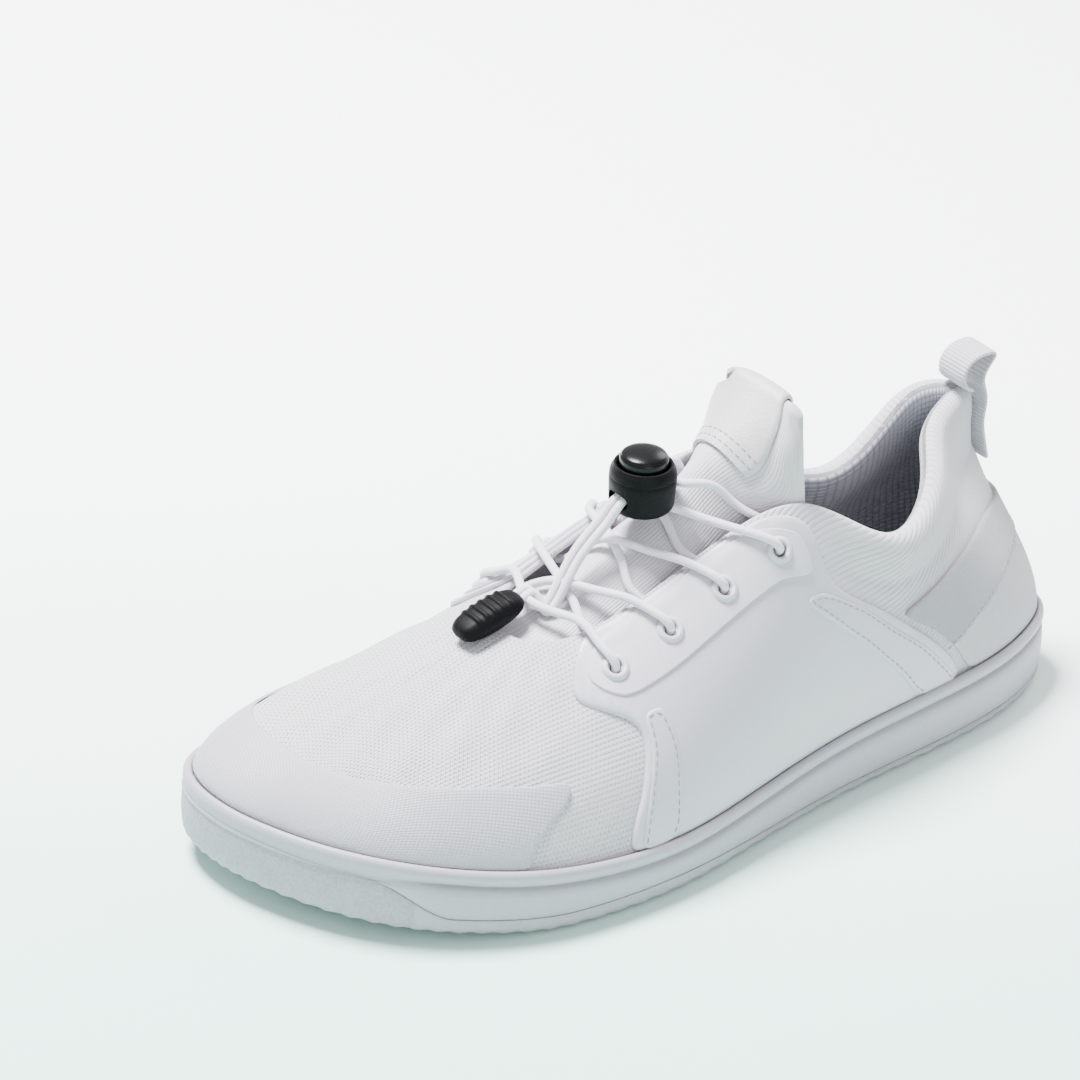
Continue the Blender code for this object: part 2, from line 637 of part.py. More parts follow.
def overlay(name, loops, holes, inner_points, height_at, made_of):
    """Solid patch over the upper's own function, bounded by loops, with round holes."""
    base = OVERLAY_GAP
    flat = [[(s * FLAT[0], v * FLAT[1]) for s, v in loop] for loop in loops]
    verts, edges = [], []
    for loop in flat + holes:
        start = len(verts)
        verts += [Vector(point) for point in loop]
        edges += [(start + i, start + (i + 1) % len(loop)) for i in range(len(loop))]
    outer = flat[0]
    for point in inner_points:
        verts.append(Vector(point))
    result = delaunay_2d_cdt(verts, edges, [], 0, 1e-4)
    points = [tuple(point) for point in result[0]]
    faces = []
    for face in result[2]:
        middle = tuple(sum(points[i][axis] for i in face) / len(face) for axis in (0, 1))
        if point_inside(middle, outer) and not any(point_inside(middle, hole) for hole in holes):
            faces.append(tuple(face))
    used = sorted({i for face in faces for i in face})
    remap = {old: new for new, old in enumerate(used)}
    faces = [tuple(remap[i] for i in face) for face in faces]
    plane = np.array([points[i] for i in used]) / FLAT
    heights = np.array([height_at(points[i]) for i in used])
    low = on_wall(plane[:, 0], plane[:, 1], np.full(len(plane), base))
    high = on_wall(plane[:, 0], plane[:, 1], base + heights)
    count = len(used)
    border = {}
    for face in faces:
        for i in range(len(face)):
            a, b = face[i], face[(i + 1) % len(face)]
            border[(a, b)] = (b, a) not in border and border.get((a, b), True)
            if (b, a) in border:
                border.pop((a, b))
                border.pop((b, a))
    solid = [tuple(i + count for i in face) for face in faces]
    solid += [tuple(reversed(face)) for face in faces]
    solid += [(a, b, b + count, a + count) for a, b in border]
    return new_object(name, mesh_from(name, np.concatenate([low, high]), solid), made_of)


def dense(edges, pitch=7.5):
    """Outline on the wall, clear of the bead, with short straight steps."""
    clear = [Edge(e.station, max(e.share, bead_share(e.station)) if e.share == 0 else e.share) for e in edges]
    points = []
    for i, here in enumerate(clear):
        ahead = clear[(i + 1) % len(clear)]
        length = math.hypot((ahead.station - here.station) * FLAT[0], (ahead.share - here.share) * FLAT[1])
        pieces = max(1, round(length / pitch))
        for k in range(pieces):
            t = k / pieces
            points.append((here.station + (ahead.station - here.station) * t,
                           here.share + (ahead.share - here.share) * t))
    return points


def grid_inside(loop, pitch, keep_off):
    """Points of a grid inside a loop of flat points, away from its edge."""
    xs = [p[0] for p in loop]
    ys = [p[1] for p in loop]
    points = []
    for i in range(int((max(xs) - min(xs)) / pitch) + 1):
        for k in range(int((max(ys) - min(ys)) / pitch) + 1):
            point = (min(xs) + (i + 0.5) * pitch, min(ys) + (k + 0.5) * pitch)
            near = min(math.hypot(point[0] - p[0], point[1] - p[1]) for p in loop)
            if near > keep_off and point_inside(point, loop):
                points.append(point)
    return points


def eyelet_positions(mirror):
    """Stations and shares of the eyelets of one side."""
    return mirrored(EYELETS) if mirror else EYELETS


def round_hole(edge, radius, sides=12):
    """Circle on the wall's flat chart, true in size at that place."""
    station, share = np.array(edge.station), np.array(edge.share)
    step = 1e-3
    across = np.linalg.norm(wall_point(station + step, share) - wall_point(station - step, share)) / (2 * step)
    up = np.linalg.norm(wall_point(station, share + step) - wall_point(station, share - step)) / (2 * step)
    points = []
    for k in range(sides):
        angle = 2 * math.pi * k / sides
        points.append(((edge.station + radius / across * math.cos(angle)) * FLAT[0],
                       (edge.share + radius / up * math.sin(angle)) * FLAT[1]))
    return points


def shrunk(loop, amount):
    """Loop of flat points moved inwards along its corner normals."""
    points = np.array(loop)
    along = np.roll(points, -1, 0) - np.roll(points, 1, 0)
    along /= np.linalg.norm(along, axis=1, keepdims=True)
    inward = np.column_stack([-along[:, 1], along[:, 0]])
    area = np.sum(points[:, 0] * np.roll(points[:, 1], -1) - np.roll(points[:, 0], -1) * points[:, 1])
    return [tuple(p) for p in points + inward * (amount if area > 0 else -amount)]


def build_side_panel(side, mirror, made_of):
    """Moulded side panel with the raised eyestay plate as a step in it."""
    edges = mirrored(PANEL_OUTLINE) if mirror else PANEL_OUTLINE
    plate = mirrored(PLATE_OUTLINE) if mirror else PLATE_OUTLINE
    outer = dense(edges)
    plate_loop = [(s * FLAT[0], v * FLAT[1]) for s, v in dense(plate, 11.0)]
    raised = shrunk(plate_loop, 0.9)
    holes = [round_hole(e, EYELET_HOLE / 2) for e in eyelet_positions(mirror)]
    flat_outer = [(s * FLAT[0], v * FLAT[1]) for s, v in outer]
    inner = [p for p in grid_inside(flat_outer, 9.5, 4.0)
             if min(math.dist(p, q) for q in plate_loop + raised) > 3.0
             and min(math.dist(p, q) for hole in holes for q in hole) > 3.0]
    loops = [outer, [(x / FLAT[0], y / FLAT[1]) for x, y in plate_loop],
             [(x / FLAT[0], y / FLAT[1]) for x, y in raised]]

    def height_at(point):
        on_plate = point_inside(point, plate_loop) and min(math.dist(point, q) for q in plate_loop) > 0.5
        return PANEL_THICKNESS + (PLATE_STEP if on_plate else 0)

    return overlay("side_panel_" + side, loops, holes, inner, height_at, made_of)


def build_toe_cap(made_of):
    """Thin film over the toe, cut from the wall's own function."""
    outer = dense(TOE_CAP_OUTLINE)
    flat_outer = [(s * FLAT[0], v * FLAT[1]) for s, v in outer]
    inner = grid_inside(flat_outer, 6.2, 2.5)
    return overlay("toe_cap", [outer], [], inner, lambda point: TOE_CAP_THICKNESS, made_of)


def build_heel_counter(made_of):
    """Suede-like band round the heel."""
    other = [Edge(-e.station, e.share) for e in reversed(COUNTER_OUTLINE[1:-1])]
    lateral_low = [e for e in COUNTER_OUTLINE]
    edges = lateral_low + other
    outer = dense(edges)
    flat_outer = [(s * FLAT[0], v * FLAT[1]) for s, v in outer]
    inner = grid_inside(flat_outer, 7.5, 3.0)
    return overlay("heel_counter", [outer], [], inner, lambda point: COUNTER_THICKNESS, made_of)


# Eyelets

def frame_at(edge):
    """Two unit vectors along the wall and its normal at an eyelet."""
    station, share = np.array(edge.station), np.array(edge.share)
    normal = wall_normal(station, share)
    along = wall_point(station + 1e-3, share) - wall_point(station - 1e-3, share)
    along -= normal * np.dot(along, normal)
    along /= np.linalg.norm(along)
    return along, np.cross(normal, along), normal


def build_eyelet(name, edge, made_of):
    """Moulded ring on the plate round one lace hole."""
    centre = wall_point(np.array(edge.station), np.array(edge.share))
    along, across, normal = frame_at(edge)
    seat = OVERLAY_GAP + PANEL_THICKNESS + PLATE_STEP + SEAM_GAP
    hole, outer = EYELET_HOLE / 2, EYELET_WIDTH / 2
    profile = [(hole, 0), (outer, 0), (outer - 0.6 * MM, EYELET_HEIGHT), (hole, EYELET_HEIGHT)]
    sides = 10
    points = []
    for radius, height in profile:
        for k in range(sides):
            angle = 2 * math.pi * k / sides
            points.append(centre + normal * (seat + height)
                          + along * radius * math.cos(angle) + across * radius * math.sin(angle))
    return new_object(name, mesh_from(name, points, ring_faces(len(profile), sides, True)), made_of)


def lace_hole_cutter(name, edges):
    """Rods that cut the lace holes through the upper."""
    sides = 10
    points, faces = [], []
    for edge in edges:
        centre = wall_point(np.array(edge.station), np.array(edge.share))
        along, across, normal = frame_at(edge)
        start = len(points)
        for depth in (-3 * UPPER_WALL, UPPER_WALL):
            for k in range(sides):
                angle = 2 * math.pi * k / sides
                radius = EYELET_HOLE / 2
                points.append(centre + normal * depth + along * radius * math.cos(angle)
                              + across * radius * math.sin(angle))
        faces += [tuple(start + i for i in face) for face in ring_faces(2, sides, False)]
        faces.append(tuple(start + i for i in range(sides)))
        faces.append(tuple(start + sides + i for i in reversed(range(sides))))
    return add_cutter(name, mesh_from(name, points, faces))


# Tongue

TONGUE_COLUMNS = 8


def tongue_row(row):
    """Points of one tongue row from the lateral edge to the medial edge."""
    ends = []
    for station in (row.station, COUNT - row.station):
        thick = wall_thickness(np.array([float(station)]), np.array(row.share))[0]
        depth = thick + row.drop + TONGUE_THICKNESS / 2
        ends.append(on_wall(np.array(float(station)), np.array(row.share), -depth))
    rise = np.array([0, 0, row.lift * COLLAR_HEIGHT])
    middle = (ends[0] + ends[1]) / 2
    ends = [end + (middle - end) * row.narrow * 2 + rise for end in ends]
    crest = np.array([row.crest_x * SOLE_LENGTH, row.crest_y * BALL_WIDTH, row.crest_z * COLLAR_HEIGHT])
    pull = (8 * crest - ends[0] - ends[1]) / 6
    half_span = (ends[0] - ends[1]) / 2 * row.flat
    corners = [ends[0], pull + half_span, pull - half_span, ends[1]]
    points = []
    for k in range(TONGUE_COLUMNS + 1):
        t = k / TONGUE_COLUMNS
        s = 1 - t
        points.append(corners[0] * s**3 + 3 * corners[1] * s * s * t + 3 * corners[2] * s * t * t
                      + corners[3] * t**3)
    return np.array(points)


def tongue_surface():
    """Middle sheet of the tongue and its normals, rows by columns."""
    sheet = np.array([tongue_row(row) for row in TONGUE_ROWS])
    along = np.gradient(sheet, axis=0)
    across = np.gradient(sheet, axis=1)
    normal = np.cross(across, along)
    normal /= np.linalg.norm(normal, axis=-1, keepdims=True)
    if normal[..., 2].mean() < 0:
        normal = -normal
    return sheet, normal


def tongue_thickness():
    """Thickness by row and column, thin at the edges and padded in the middle."""
    columns = np.linspace(-1, 1, TONGUE_COLUMNS + 1)
    shape = np.sqrt(np.clip(1 - 0.75 * columns**6, 0.1, 1))
    rows = np.linspace(0, 1, len(TONGUE_ROWS))
    along = 0.55 + 0.45 * smooth(rows / 0.3)
    return TONGUE_THICKNESS * along[:, None] * shape[None, :]


def sheet_solid(name, low, high, made_of):
    """Closed solid between two grids of points."""
    rows, columns = low.shape[:2]
    count = rows * columns
    points = np.concatenate([low.reshape(-1, 3), high.reshape(-1, 3)])
    faces = []
    for r in range(rows - 1):
        for c in range(columns - 1):
            a = r * columns + c
            quad = (a, a + 1, a + columns + 1, a + columns)
            faces.append(quad)
            faces.append(tuple(count + quad[i] for i in (0, 3, 2, 1)))
    rim = [c for c in range(columns - 1)]
    rim += [r * columns + columns - 1 for r in range(rows - 1)]
    rim += [(rows - 1) * columns + c for c in range(columns - 1, 0, -1)]
    rim += [r * columns for r in range(rows - 1, 0, -1)]
    for i, a in enumerate(rim):
        b = rim[(i + 1) % len(rim)]
        faces.append((a, b, b + count, a + count))
    return new_object(name, mesh_from(name, points, faces), made_of)


def build_tongue(made_of):
    """Padded tongue under the eyestays, rising past the collar."""
    sheet, normal = tongue_surface()
    half = tongue_thickness()[..., None] / 2
    return sheet_solid("tongue", sheet - normal * half, sheet + normal * half, made_of)


def build_tongue_tab(made_of):
    """Leather band from the tongue's front over its top and down its back."""
    sheet, normal = tongue_surface()
    last = len(TONGUE_ROWS) - 1
    columns = slice(1, TONGUE_COLUMNS)
    half = TONGUE_THICKNESS / 2 + SEAM_GAP * 1.4
    up = sheet[last] - sheet[last - 1]
    up /= np.linalg.norm(up, axis=-1, keepdims=True)

    def layer(gap):
        reach = half + gap
        rows = [sheet[r] + normal[r] * reach for r in range(TAB_FIRST_ROW, last + 1)]
        rows.append(sheet[last] + (normal[last] + up) * 0.72 * reach)
        rows.append(sheet[last] + up * reach)
        rows.append(sheet[last] + (up - normal[last]) * 0.72 * reach)
        rows += [sheet[r] - normal[r] * (reach + SEAM_GAP) for r in (last, last - 1, last - 2)]
        return np.array(rows)[:, columns]

    return sheet_solid("tongue_tab", layer(0.0), layer(TAB_THICKNESS), made_of)


# Pull loop

def build_pull_loop(made_of):
    """Ribbon loop sewn to the back of the heel and to the top of its collar."""
    half = LOOP_THICKNESS / 2
    heel = np.array(0.0)
    seat = SEAM_GAP * 2 + half
    back = [on_wall(heel, np.array(share), seat) for share in (0.66, 0.76, 0.86)]
    top = wall_point(heel, np.array(1.0))
    crest = top - wall_normal(heel, np.array(0.97)) * COLLAR_PAD * 0.35
    path = [(p[0], p[2]) for p in back]
    path += [
        (path[-1][0] - 0.3 * MM, top[2] - 2 * MM),
        (path[-1][0] + 1.0 * MM, top[2] + LOOP_RISE * 0.5),
        (top[0] - 3.5 * MM, top[2] + LOOP_RISE * 0.93),
        (top[0] + 1.5 * MM, top[2] + LOOP_RISE),
        (crest[0] + 5.5 * MM, top[2] + LOOP_RISE * 0.72),
        (crest[0] + 5.5 * MM, top[2] + LOOP_RISE * 0.35),
        (crest[0] + 2.0 * MM, top[2] + SEAM_GAP * 3 + half),
    ]
    path = smooth_route(path, LOOP_THICKNESS * 2)
    along = np.gradient(path, axis=0)
    along /= np.linalg.norm(along, axis=1, keepdims=True)
    side = np.column_stack([-along[:, 1], along[:, 0]])
    centre_y = top[1]
    low, high = [], []
    for (x, z), (nx, nz) in zip(path, side):
        low.append([(x - nx * half, centre_y + w * LOOP_WIDTH, z - nz * half) for w in (-0.5, 0.5)])
        high.append([(x + nx * half, centre_y + w * LOOP_WIDTH, z + nz * half) for w in (-0.5, 0.5)])
    return sheet_solid("heel_pull_loop", np.array(low), np.array(high), made_of)


# Lace

def smooth_route(points, pitch):
    """Even points on a smooth curve through a route's own points."""
    points = np.array(points, float)
    count = len(points)
    knots = np.concatenate([[0], np.cumsum(np.linalg.norm(np.diff(points, axis=0), axis=1))])
    gaps = np.diff(knots)
    system = np.eye(count)
    right = np.zeros_like(points)
    for i in range(1, count - 1):
        system[i, i - 1:i + 2] = gaps[i - 1], 2 * (gaps[i - 1] + gaps[i]), gaps[i]
        right[i] = 6 * ((points[i + 1] - points[i]) / gaps[i] - (points[i] - points[i - 1]) / gaps[i - 1])
    bend = np.linalg.solve(system, right)

    def at(where):
        k = np.clip(np.searchsorted(knots, where, side="right") - 1, 0, count - 2)
        gap = gaps[k][:, None]
        t = ((where - knots[k]) / gaps[k])[:, None]
        s = 1 - t
        curve = points[k] * s + points[k + 1] * t
        return curve + ((s**3 - s) * bend[k] + (t**3 - t) * bend[k + 1]) * gap**2 / 6

    pieces = max(2, round(knots[-1] / pitch))
    return at(np.linspace(0, knots[-1], pieces + 1))


def lace_route(points):
    """Centre line of a stretch of lace."""
    return smooth_route(points, LACE_DIAMETER * 2.5)


def tube_mesh(name, centres, diameter, sides=8):
    """Round tube along a centre line with closed ends."""
    along = np.gradient(centres, axis=0)
    along /= np.linalg.norm(along, axis=1, keepdims=True)
    side = np.cross(along[0], (0.0, 0.0, 1.0))
    points = []
    for centre, ahead in zip(centres, along):
        side = side - ahead * np.dot(side, ahead)
        side /= np.linalg.norm(side)
        other = np.cross(ahead, side)
        for k in range(sides):
            angle = 2 * math.pi * k / sides
            points.append(centre + (side * math.cos(angle) + other * math.sin(angle)) * diameter / 2)
    faces = ring_faces(len(centres), sides, False)
    faces.append(tuple(range(sides)))
    faces.append(tuple(len(points) - sides + i for i in reversed(range(sides))))
    return mesh_from(name, points, faces)


def cord(name, points, made_of):
    """Free stretch of the lace."""
    curve = bpy.data.curves.new(name, "CURVE")
    curve.dimensions = "3D"
    curve.bevel_depth = LACE_DIAMETER / 2
    curve.bevel_resolution = 2
    curve.use_fill_caps = True
    centres = lace_route(points)
    spline = curve.splines.new("POLY")
    spline.points.add(len(centres) - 1)
    for point, centre in zip(spline.points, centres):
        point.co = (*centre, 1)
    curve.materials.append(made_of)
    obj = bpy.data.objects.new(name, curve)
    bpy.context.collection.objects.link(obj)
    return obj


def tongue_at(station, across, height):
    """Point over the tongue's outer face, at a station and a share across it."""
    sheet, normal = tongue_surface()
    half = tongue_thickness() / 2
    under_wall = [row.station for row in TONGUE_ROWS if row.lift == 0]
    row = np.interp(-station, [-s for s in under_wall], np.arange(len(under_wall)))
    column = across * TONGUE_COLUMNS
    r, c = min(int(row), len(TONGUE_ROWS) - 2), min(int(column), TONGUE_COLUMNS - 1)
    a, b = row - r, column - c

    def mixed(grid):
        near = grid[r, c] * (1 - b) + grid[r, c + 1] * b
        far = grid[r + 1, c] * (1 - b) + grid[r + 1, c + 1] * b
        return near * (1 - a) + far * a

    return mixed(sheet) + mixed(normal) * (mixed(half) + height)


def side_station(station, mirror):
    """Station of the lateral side, or its mirror image."""
    return COUNT - station if mirror else station


def under_eyestay(station, share, mirror):
    """Lace centre between the upper's inner face and the tongue."""
    depth = UPPER_WALL + TONGUE_LACE_ROOM / 2 + SEAM_GAP / 2
    return on_wall(np.array(float(side_station(station, mirror))), np.array(share), -depth)


def over_eyestay(station, share, mirror):
    """Lace centre on the eyestay."""
    lift = OVERLAY_GAP + SEAM_GAP + PANEL_THICKNESS + PLATE_STEP + EYELET_HEIGHT * 0.4 + LACE_DIAMETER / 2
    return on_wall(np.array(float(side_station(station, mirror))), np.array(share), lift)


LACE_LOW = LACE_DIAMETER / 2 + 0.4 * MM        # lace centre over the tongue
LACE_HIGH = LACE_LOW + LACE_DIAMETER * 0.75    # upper strand of a crossing
LACE_TOP = LACE_HIGH + LACE_DIAMETER + SEAM_GAP  # tails that lie on a crossing


# Where each pair of strands crosses.
#   ahead  stations toward the toe from halfway between its eyelets
#   rise   height of the upper strand over the lower one, in LACE_DIAMETER
Crossing = namedtuple("Crossing", "ahead rise")
CROSSINGS = [Crossing(0, 0.75), Crossing(0, 0.75), Crossing(0.46, 0.40)]


def crossing_strand(first, second, from_medial, ahead, height):
    """From under one eyestay across the tongue to the next eyelet of the other side."""
    middle = (first.station + second.station) / 2 + ahead
    near, far = (0.795, 0.26) if from_medial else (0.24, 0.74)
    between = (height - LACE_LOW) / 2
    return lace_route([
        under_eyestay(first.station - 0.1, 0.92, from_medial),
        tongue_at(first.station - 0.12, 0.5 + (near - 0.5) * 1.28, LACE_LOW),
        tongue_at(first.station - 0.15, near, LACE_LOW),
        tongue_at((first.station - 0.15 + middle) / 2, (near + 0.5) / 2, LACE_LOW + between),
        tongue_at(middle, 0.5, height),
        tongue_at(middle * 0.55 + (second.station + 0.14) * 0.45, 0.5 + (far - 0.5) * 0.45,
                  LACE_LOW + between + 0.4 * MM),
        tongue_at(second.station + 0.14, far, LACE_LOW + 3.7 * MM),
        over_eyestay(second.station + 0.05, 0.985, not from_medial),
        over_eyestay(second.station, second.share + 0.08, not from_medial),
    ])


def build_crossing(number, made_of):
    """Two strands that cross over the tongue, joined where they touch."""
    first, second = EYELETS[number - 1], EYELETS[number]
    name = f"lace_cross_{number}"
    place = CROSSINGS[number - 1]
    low = crossing_strand(first, second, False, place.ahead, LACE_LOW)
    high = crossing_strand(first, second, True, place.ahead, LACE_LOW + LACE_DIAMETER * place.rise)
    crossing = new_object(name, tube_mesh(name, low, LACE_DIAMETER), made_of)
    add_boolean(crossing, add_cutter(name + "_upper", tube_mesh(name + "_upper", high, LACE_DIAMETER)), "UNION")
    return crossing


def build_bar(made_of):
    """Straight bar between the first two eyelets, over the tails."""
    eyelet = EYELETS[0]
    centres = lace_route([
        over_eyestay(eyelet.station, eyelet.share + 0.08, False),
        over_eyestay(eyelet.station, 0.97, False),
        tongue_at(eyelet.station + 0.1, 0.5, LACE_LOW + LACE_DIAMETER + SEAM_GAP * 8),
        over_eyestay(eyelet.station, 0.97, True),
        over_eyestay(eyelet.station, eyelet.share + 0.08, True),
    ])
    return new_object("lace_bar", tube_mesh("lace_bar", centres, LACE_DIAMETER), made_of)


LOCK_STATION = 6.5


def lock_seat():
    """Centre of the lock's underside, on the second crossing."""
    return tongue_at(LOCK_STATION, 0.5, LACE_HIGH + LACE_DIAMETER / 2 + SEAM_GAP * 7)


def revolved(name, centre, profile, made_of, sides=12):
    """Solid of revolution about a vertical axis from radius and height pairs."""
    points = []
    for radius, height in profile:
        for k in range(sides):
            angle = 2 * math.pi * (k + 0.5) / sides
            points.append(centre + np.array([radius * math.cos(angle), radius * math.sin(angle), height]))
    faces = ring_faces(len(profile), sides, False)
    faces.append(tuple(range(sides)))
    faces.append(tuple(len(points) - sides + i for i in reversed(range(sides))))
    return new_object(name, mesh_from(name, points, faces), made_of)


LACE_HOLE_HEIGHT = LACE_DIAMETER + 2 * SEAM_GAP
LACE_HOLE_WIDTH = 2 * LACE_DIAMETER + 3 * SEAM_GAP
LACE_HOLE_RISE = LOCK_HEIGHT * 0.32


def build_cord_lock(made_of):
    """Barrel with a lace hole along the shoe and a domed button on top."""
    seat = lock_seat()
    radius, height = LOCK_DIAMETER / 2, LOCK_HEIGHT
    neck = LOCK_BUTTON_DIAMETER / 2
    barrel = [(radius * 0.82, 0), (radius * 0.97, height * 0.12), (radius, height * 0.5),
              (radius, height * 0.80), (radius * 0.93, height), (neck + SEAM_GAP * 2, height)]
    body = revolved("cord_lock_body", seat, barrel, made_of)
    corners = []
    for x in (-radius * 1.5, radius * 1.5):
        for y, z in ((-0.5, -0.5), (0.5, -0.5), (0.5, 0.5), (-0.5, 0.5)):
            corners.append(seat + np.array([x, y * LACE_HOLE_WIDTH, LACE_HOLE_RISE + z * LACE_HOLE_HEIGHT]))
    faces = ring_faces(2, 4, False) + [(0, 1, 2, 3), (7, 6, 5, 4)]
    add_boolean(body, add_cutter("lock_hole", mesh_from("lock_hole", corners, faces)), "DIFFERENCE")
    top = seat + np.array([0, 0, height + SEAM_GAP])
    rise = LOCK_BUTTON_RISE
    dome = [(neck, 0), (neck, rise * 0.35), (neck * 0.86, rise * 0.75), (neck * 0.5, rise)]
    revolved("cord_lock_button", top, dome, made_of)


def lace_in_lock(lateral, ahead):
    """Lace centre in the lock's hole, at a distance ahead of its middle."""
    aside = (LACE_DIAMETER + SEAM_GAP) / 2
    return lock_seat() + np.array([ahead, aside if lateral else -aside, LACE_HOLE_RISE])


def clip_frame():
    """Centre of the clip on the front of the throat and its three axes."""
    station, share = np.array(13.7), np.array(0.985)
    normal = wall_normal(station, share)
    back = wall_point(station, share + 5e-3) - wall_point(station, share - 5e-3)
    back -= normal * np.dot(back, normal)
    back[1] = 0
    back /= np.linalg.norm(back)
    across = np.cross(back, normal)
    across /= np.linalg.norm(across)
    up = np.cross(across, back)
    seat = wall_point(station, share) + up * (CLIP_HEIGHT / 2 + 0.5 * MM)
    return seat, back, across, up


def build_clip(made_of):
    """Clip that holds both ends of the lace, rounded along its length."""
    centre, back, across, up = clip_frame()
    sections = [(-0.5, 0.70, 0.60), (-0.40, 0.94, 0.92), (-0.1, 1.0, 1.0), (0.35, 0.96, 1.0), (0.5, 0.80, 0.78)]
    shape = [(-0.5, -0.28), (-0.34, -0.5), (0.34, -0.5), (0.5, -0.28),
             (0.5, 0.22), (0.30, 0.5), (-0.30, 0.5), (-0.5, 0.22)]
    points = []
    for where, wide, tall in sections:
        for y, z in shape:
            points.append(centre + back * where * CLIP_LENGTH + across * y * wide * CLIP_WIDTH
                          + up * (z * tall * CLIP_HEIGHT))
    count = len(shape)
    faces = ring_faces(len(sections), count, False)
    faces.append(tuple(range(count)))
    faces.append(tuple(len(points) - count + i for i in reversed(range(count))))
    return new_object("lace_end_clip", mesh_from("lace_end_clip", points, faces), made_of)


def build_free_lace(made_of):
    """Strands from the last eyelets into the lock and two tails on to the clip."""
    last = EYELETS[-1]
    centre, back, across, up = clip_frame()
    for side, mirror in (("lateral", False), ("medial", True)):
        sign = -1 if mirror else 1
        near = 0.80 if mirror else 0.20
        cord("lace_to_lock_" + side, [
            under_eyestay(last.station - 0.05, 0.95, mirror),
            tongue_at(last.station - 0.03, near, LACE_LOW),
            tongue_at(last.station + 0.05, 0.5 + (near - 0.5) * 0.50, LACE_LOW + 2.4 * MM),
            tongue_at(last.station + 0.30, 0.5 + (near - 0.5) * 0.16, LACE_LOW + 4.2 * MM),
            lace_in_lock(not mirror, -LOCK_DIAMETER * 0.62),
            lace_in_lock(not mirror, -LOCK_DIAMETER * 0.35),
            lace_in_lock(not mirror, -SEAM_GAP / 2),
        ], made_of)
        aside = sign * (LACE_DIAMETER + SEAM_GAP * 2) / 2
        end = centre + back * (CLIP_LENGTH / 2 + SEAM_GAP * 2)
        cord("lace_tail_" + side, [
            lace_in_lock(not mirror, SEAM_GAP / 2),
            lace_in_lock(not mirror, LOCK_DIAMETER * 0.35),
            lace_in_lock(not mirror, LOCK_DIAMETER * 0.60),
            tongue_at(7.38, 0.5, LACE_TOP + 1.7 * MM) + np.array([0, aside, 0]),
            tongue_at(7.6, 0.5, LACE_TOP + 1.1 * MM) + np.array([0, aside, 0]),
            tongue_at(EYELETS[0].station, 0.5, LACE_LOW) + np.array([0, aside, 0]),
            end + across * aside + back * 3.0 * MM,
            end + across * aside,
        ], made_of)


def centre_on_origin():
    """Put the origin under the middle of the sole."""
    widest = ring(SIDE_INSET, 0.0)
    middle = (widest.min(0) + widest.max(0)) / 2
    shift = Matrix.Translation((-middle[0], -middle[1], 0))
    for obj in bpy.data.objects:
        obj.data.transform(shift)


def main():
    """Build the shoe."""
    for obj in list(bpy.data.objects):
        bpy.data.objects.remove(obj)
    moulded = material("moulded_overlay", (0.88, 0.88, 0.89), 0.45)
    film = material("toe_film", (0.85, 0.85, 0.86), 0.5)
    suede = material("counter_suede", (0.80, 0.80, 0.80), 0.9)
    knit = material("tongue_knit", (0.86, 0.86, 0.87), 0.85)
    leather = material("tab_leather", (0.88, 0.88, 0.88), 0.5)
    ribbon = material("ribbon", (0.85, 0.85, 0.86), 0.8)
    build_outsole()
    build_midsole()
    build_insole()
    upper = build_upper()
    for side, mirror in (("lateral", False), ("medial", True)):
        build_side_panel(side, mirror, moulded)
        edges = eyelet_positions(mirror)
        add_boolean(upper, lace_hole_cutter("lace_holes_" + side, edges), "DIFFERENCE")
        for number, edge in enumerate(edges if not mirror else list(reversed(edges)), 1):
            build_eyelet(f"eyelet_{side}_{number}", edge, moulded)
    build_toe_cap(film)
    build_heel_counter(suede)
    build_tongue(knit)
    build_tongue_tab(leather)
    build_pull_loop(ribbon)
    elastic = material("elastic_lace", (0.88, 0.88, 0.89), 0.7)
    plastic = material("black_plastic", (0.015, 0.015, 0.016), 0.35)
    build_bar(elastic)
    for number in range(1, len(EYELETS)):
        build_crossing(number, elastic)
    build_cord_lock(plastic)
    build_clip(plastic)
    build_free_lace(elastic)
    centre_on_origin()


main()
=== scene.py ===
"""Left barefoot shoe dressed for its picture: knit, moulded overlays, rubber sole and bungee lace."""

import logging
import math
from collections import namedtuple
from dataclasses import dataclass
from enum import Enum
from typing import Callable, Optional, Sequence

import bmesh
import bpy
import numpy as np
from mathutils import Matrix, Vector
from mathutils.geometry import delaunay_2d_cdt


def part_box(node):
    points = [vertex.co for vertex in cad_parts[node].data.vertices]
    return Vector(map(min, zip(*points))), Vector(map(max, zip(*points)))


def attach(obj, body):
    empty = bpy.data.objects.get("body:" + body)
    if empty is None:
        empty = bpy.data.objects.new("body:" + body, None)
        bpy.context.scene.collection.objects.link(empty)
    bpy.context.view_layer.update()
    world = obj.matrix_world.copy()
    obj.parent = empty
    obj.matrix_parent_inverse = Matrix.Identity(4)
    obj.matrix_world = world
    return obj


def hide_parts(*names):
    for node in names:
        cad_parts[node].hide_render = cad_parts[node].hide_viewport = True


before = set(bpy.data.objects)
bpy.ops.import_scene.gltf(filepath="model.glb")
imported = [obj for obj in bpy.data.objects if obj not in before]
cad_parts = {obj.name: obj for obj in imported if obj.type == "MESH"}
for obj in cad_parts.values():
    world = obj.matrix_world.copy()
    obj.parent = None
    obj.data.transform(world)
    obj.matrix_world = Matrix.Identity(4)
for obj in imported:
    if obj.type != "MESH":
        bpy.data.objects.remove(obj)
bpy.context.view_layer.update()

LOG = logging.getLogger("shoe")

MM = 0.001

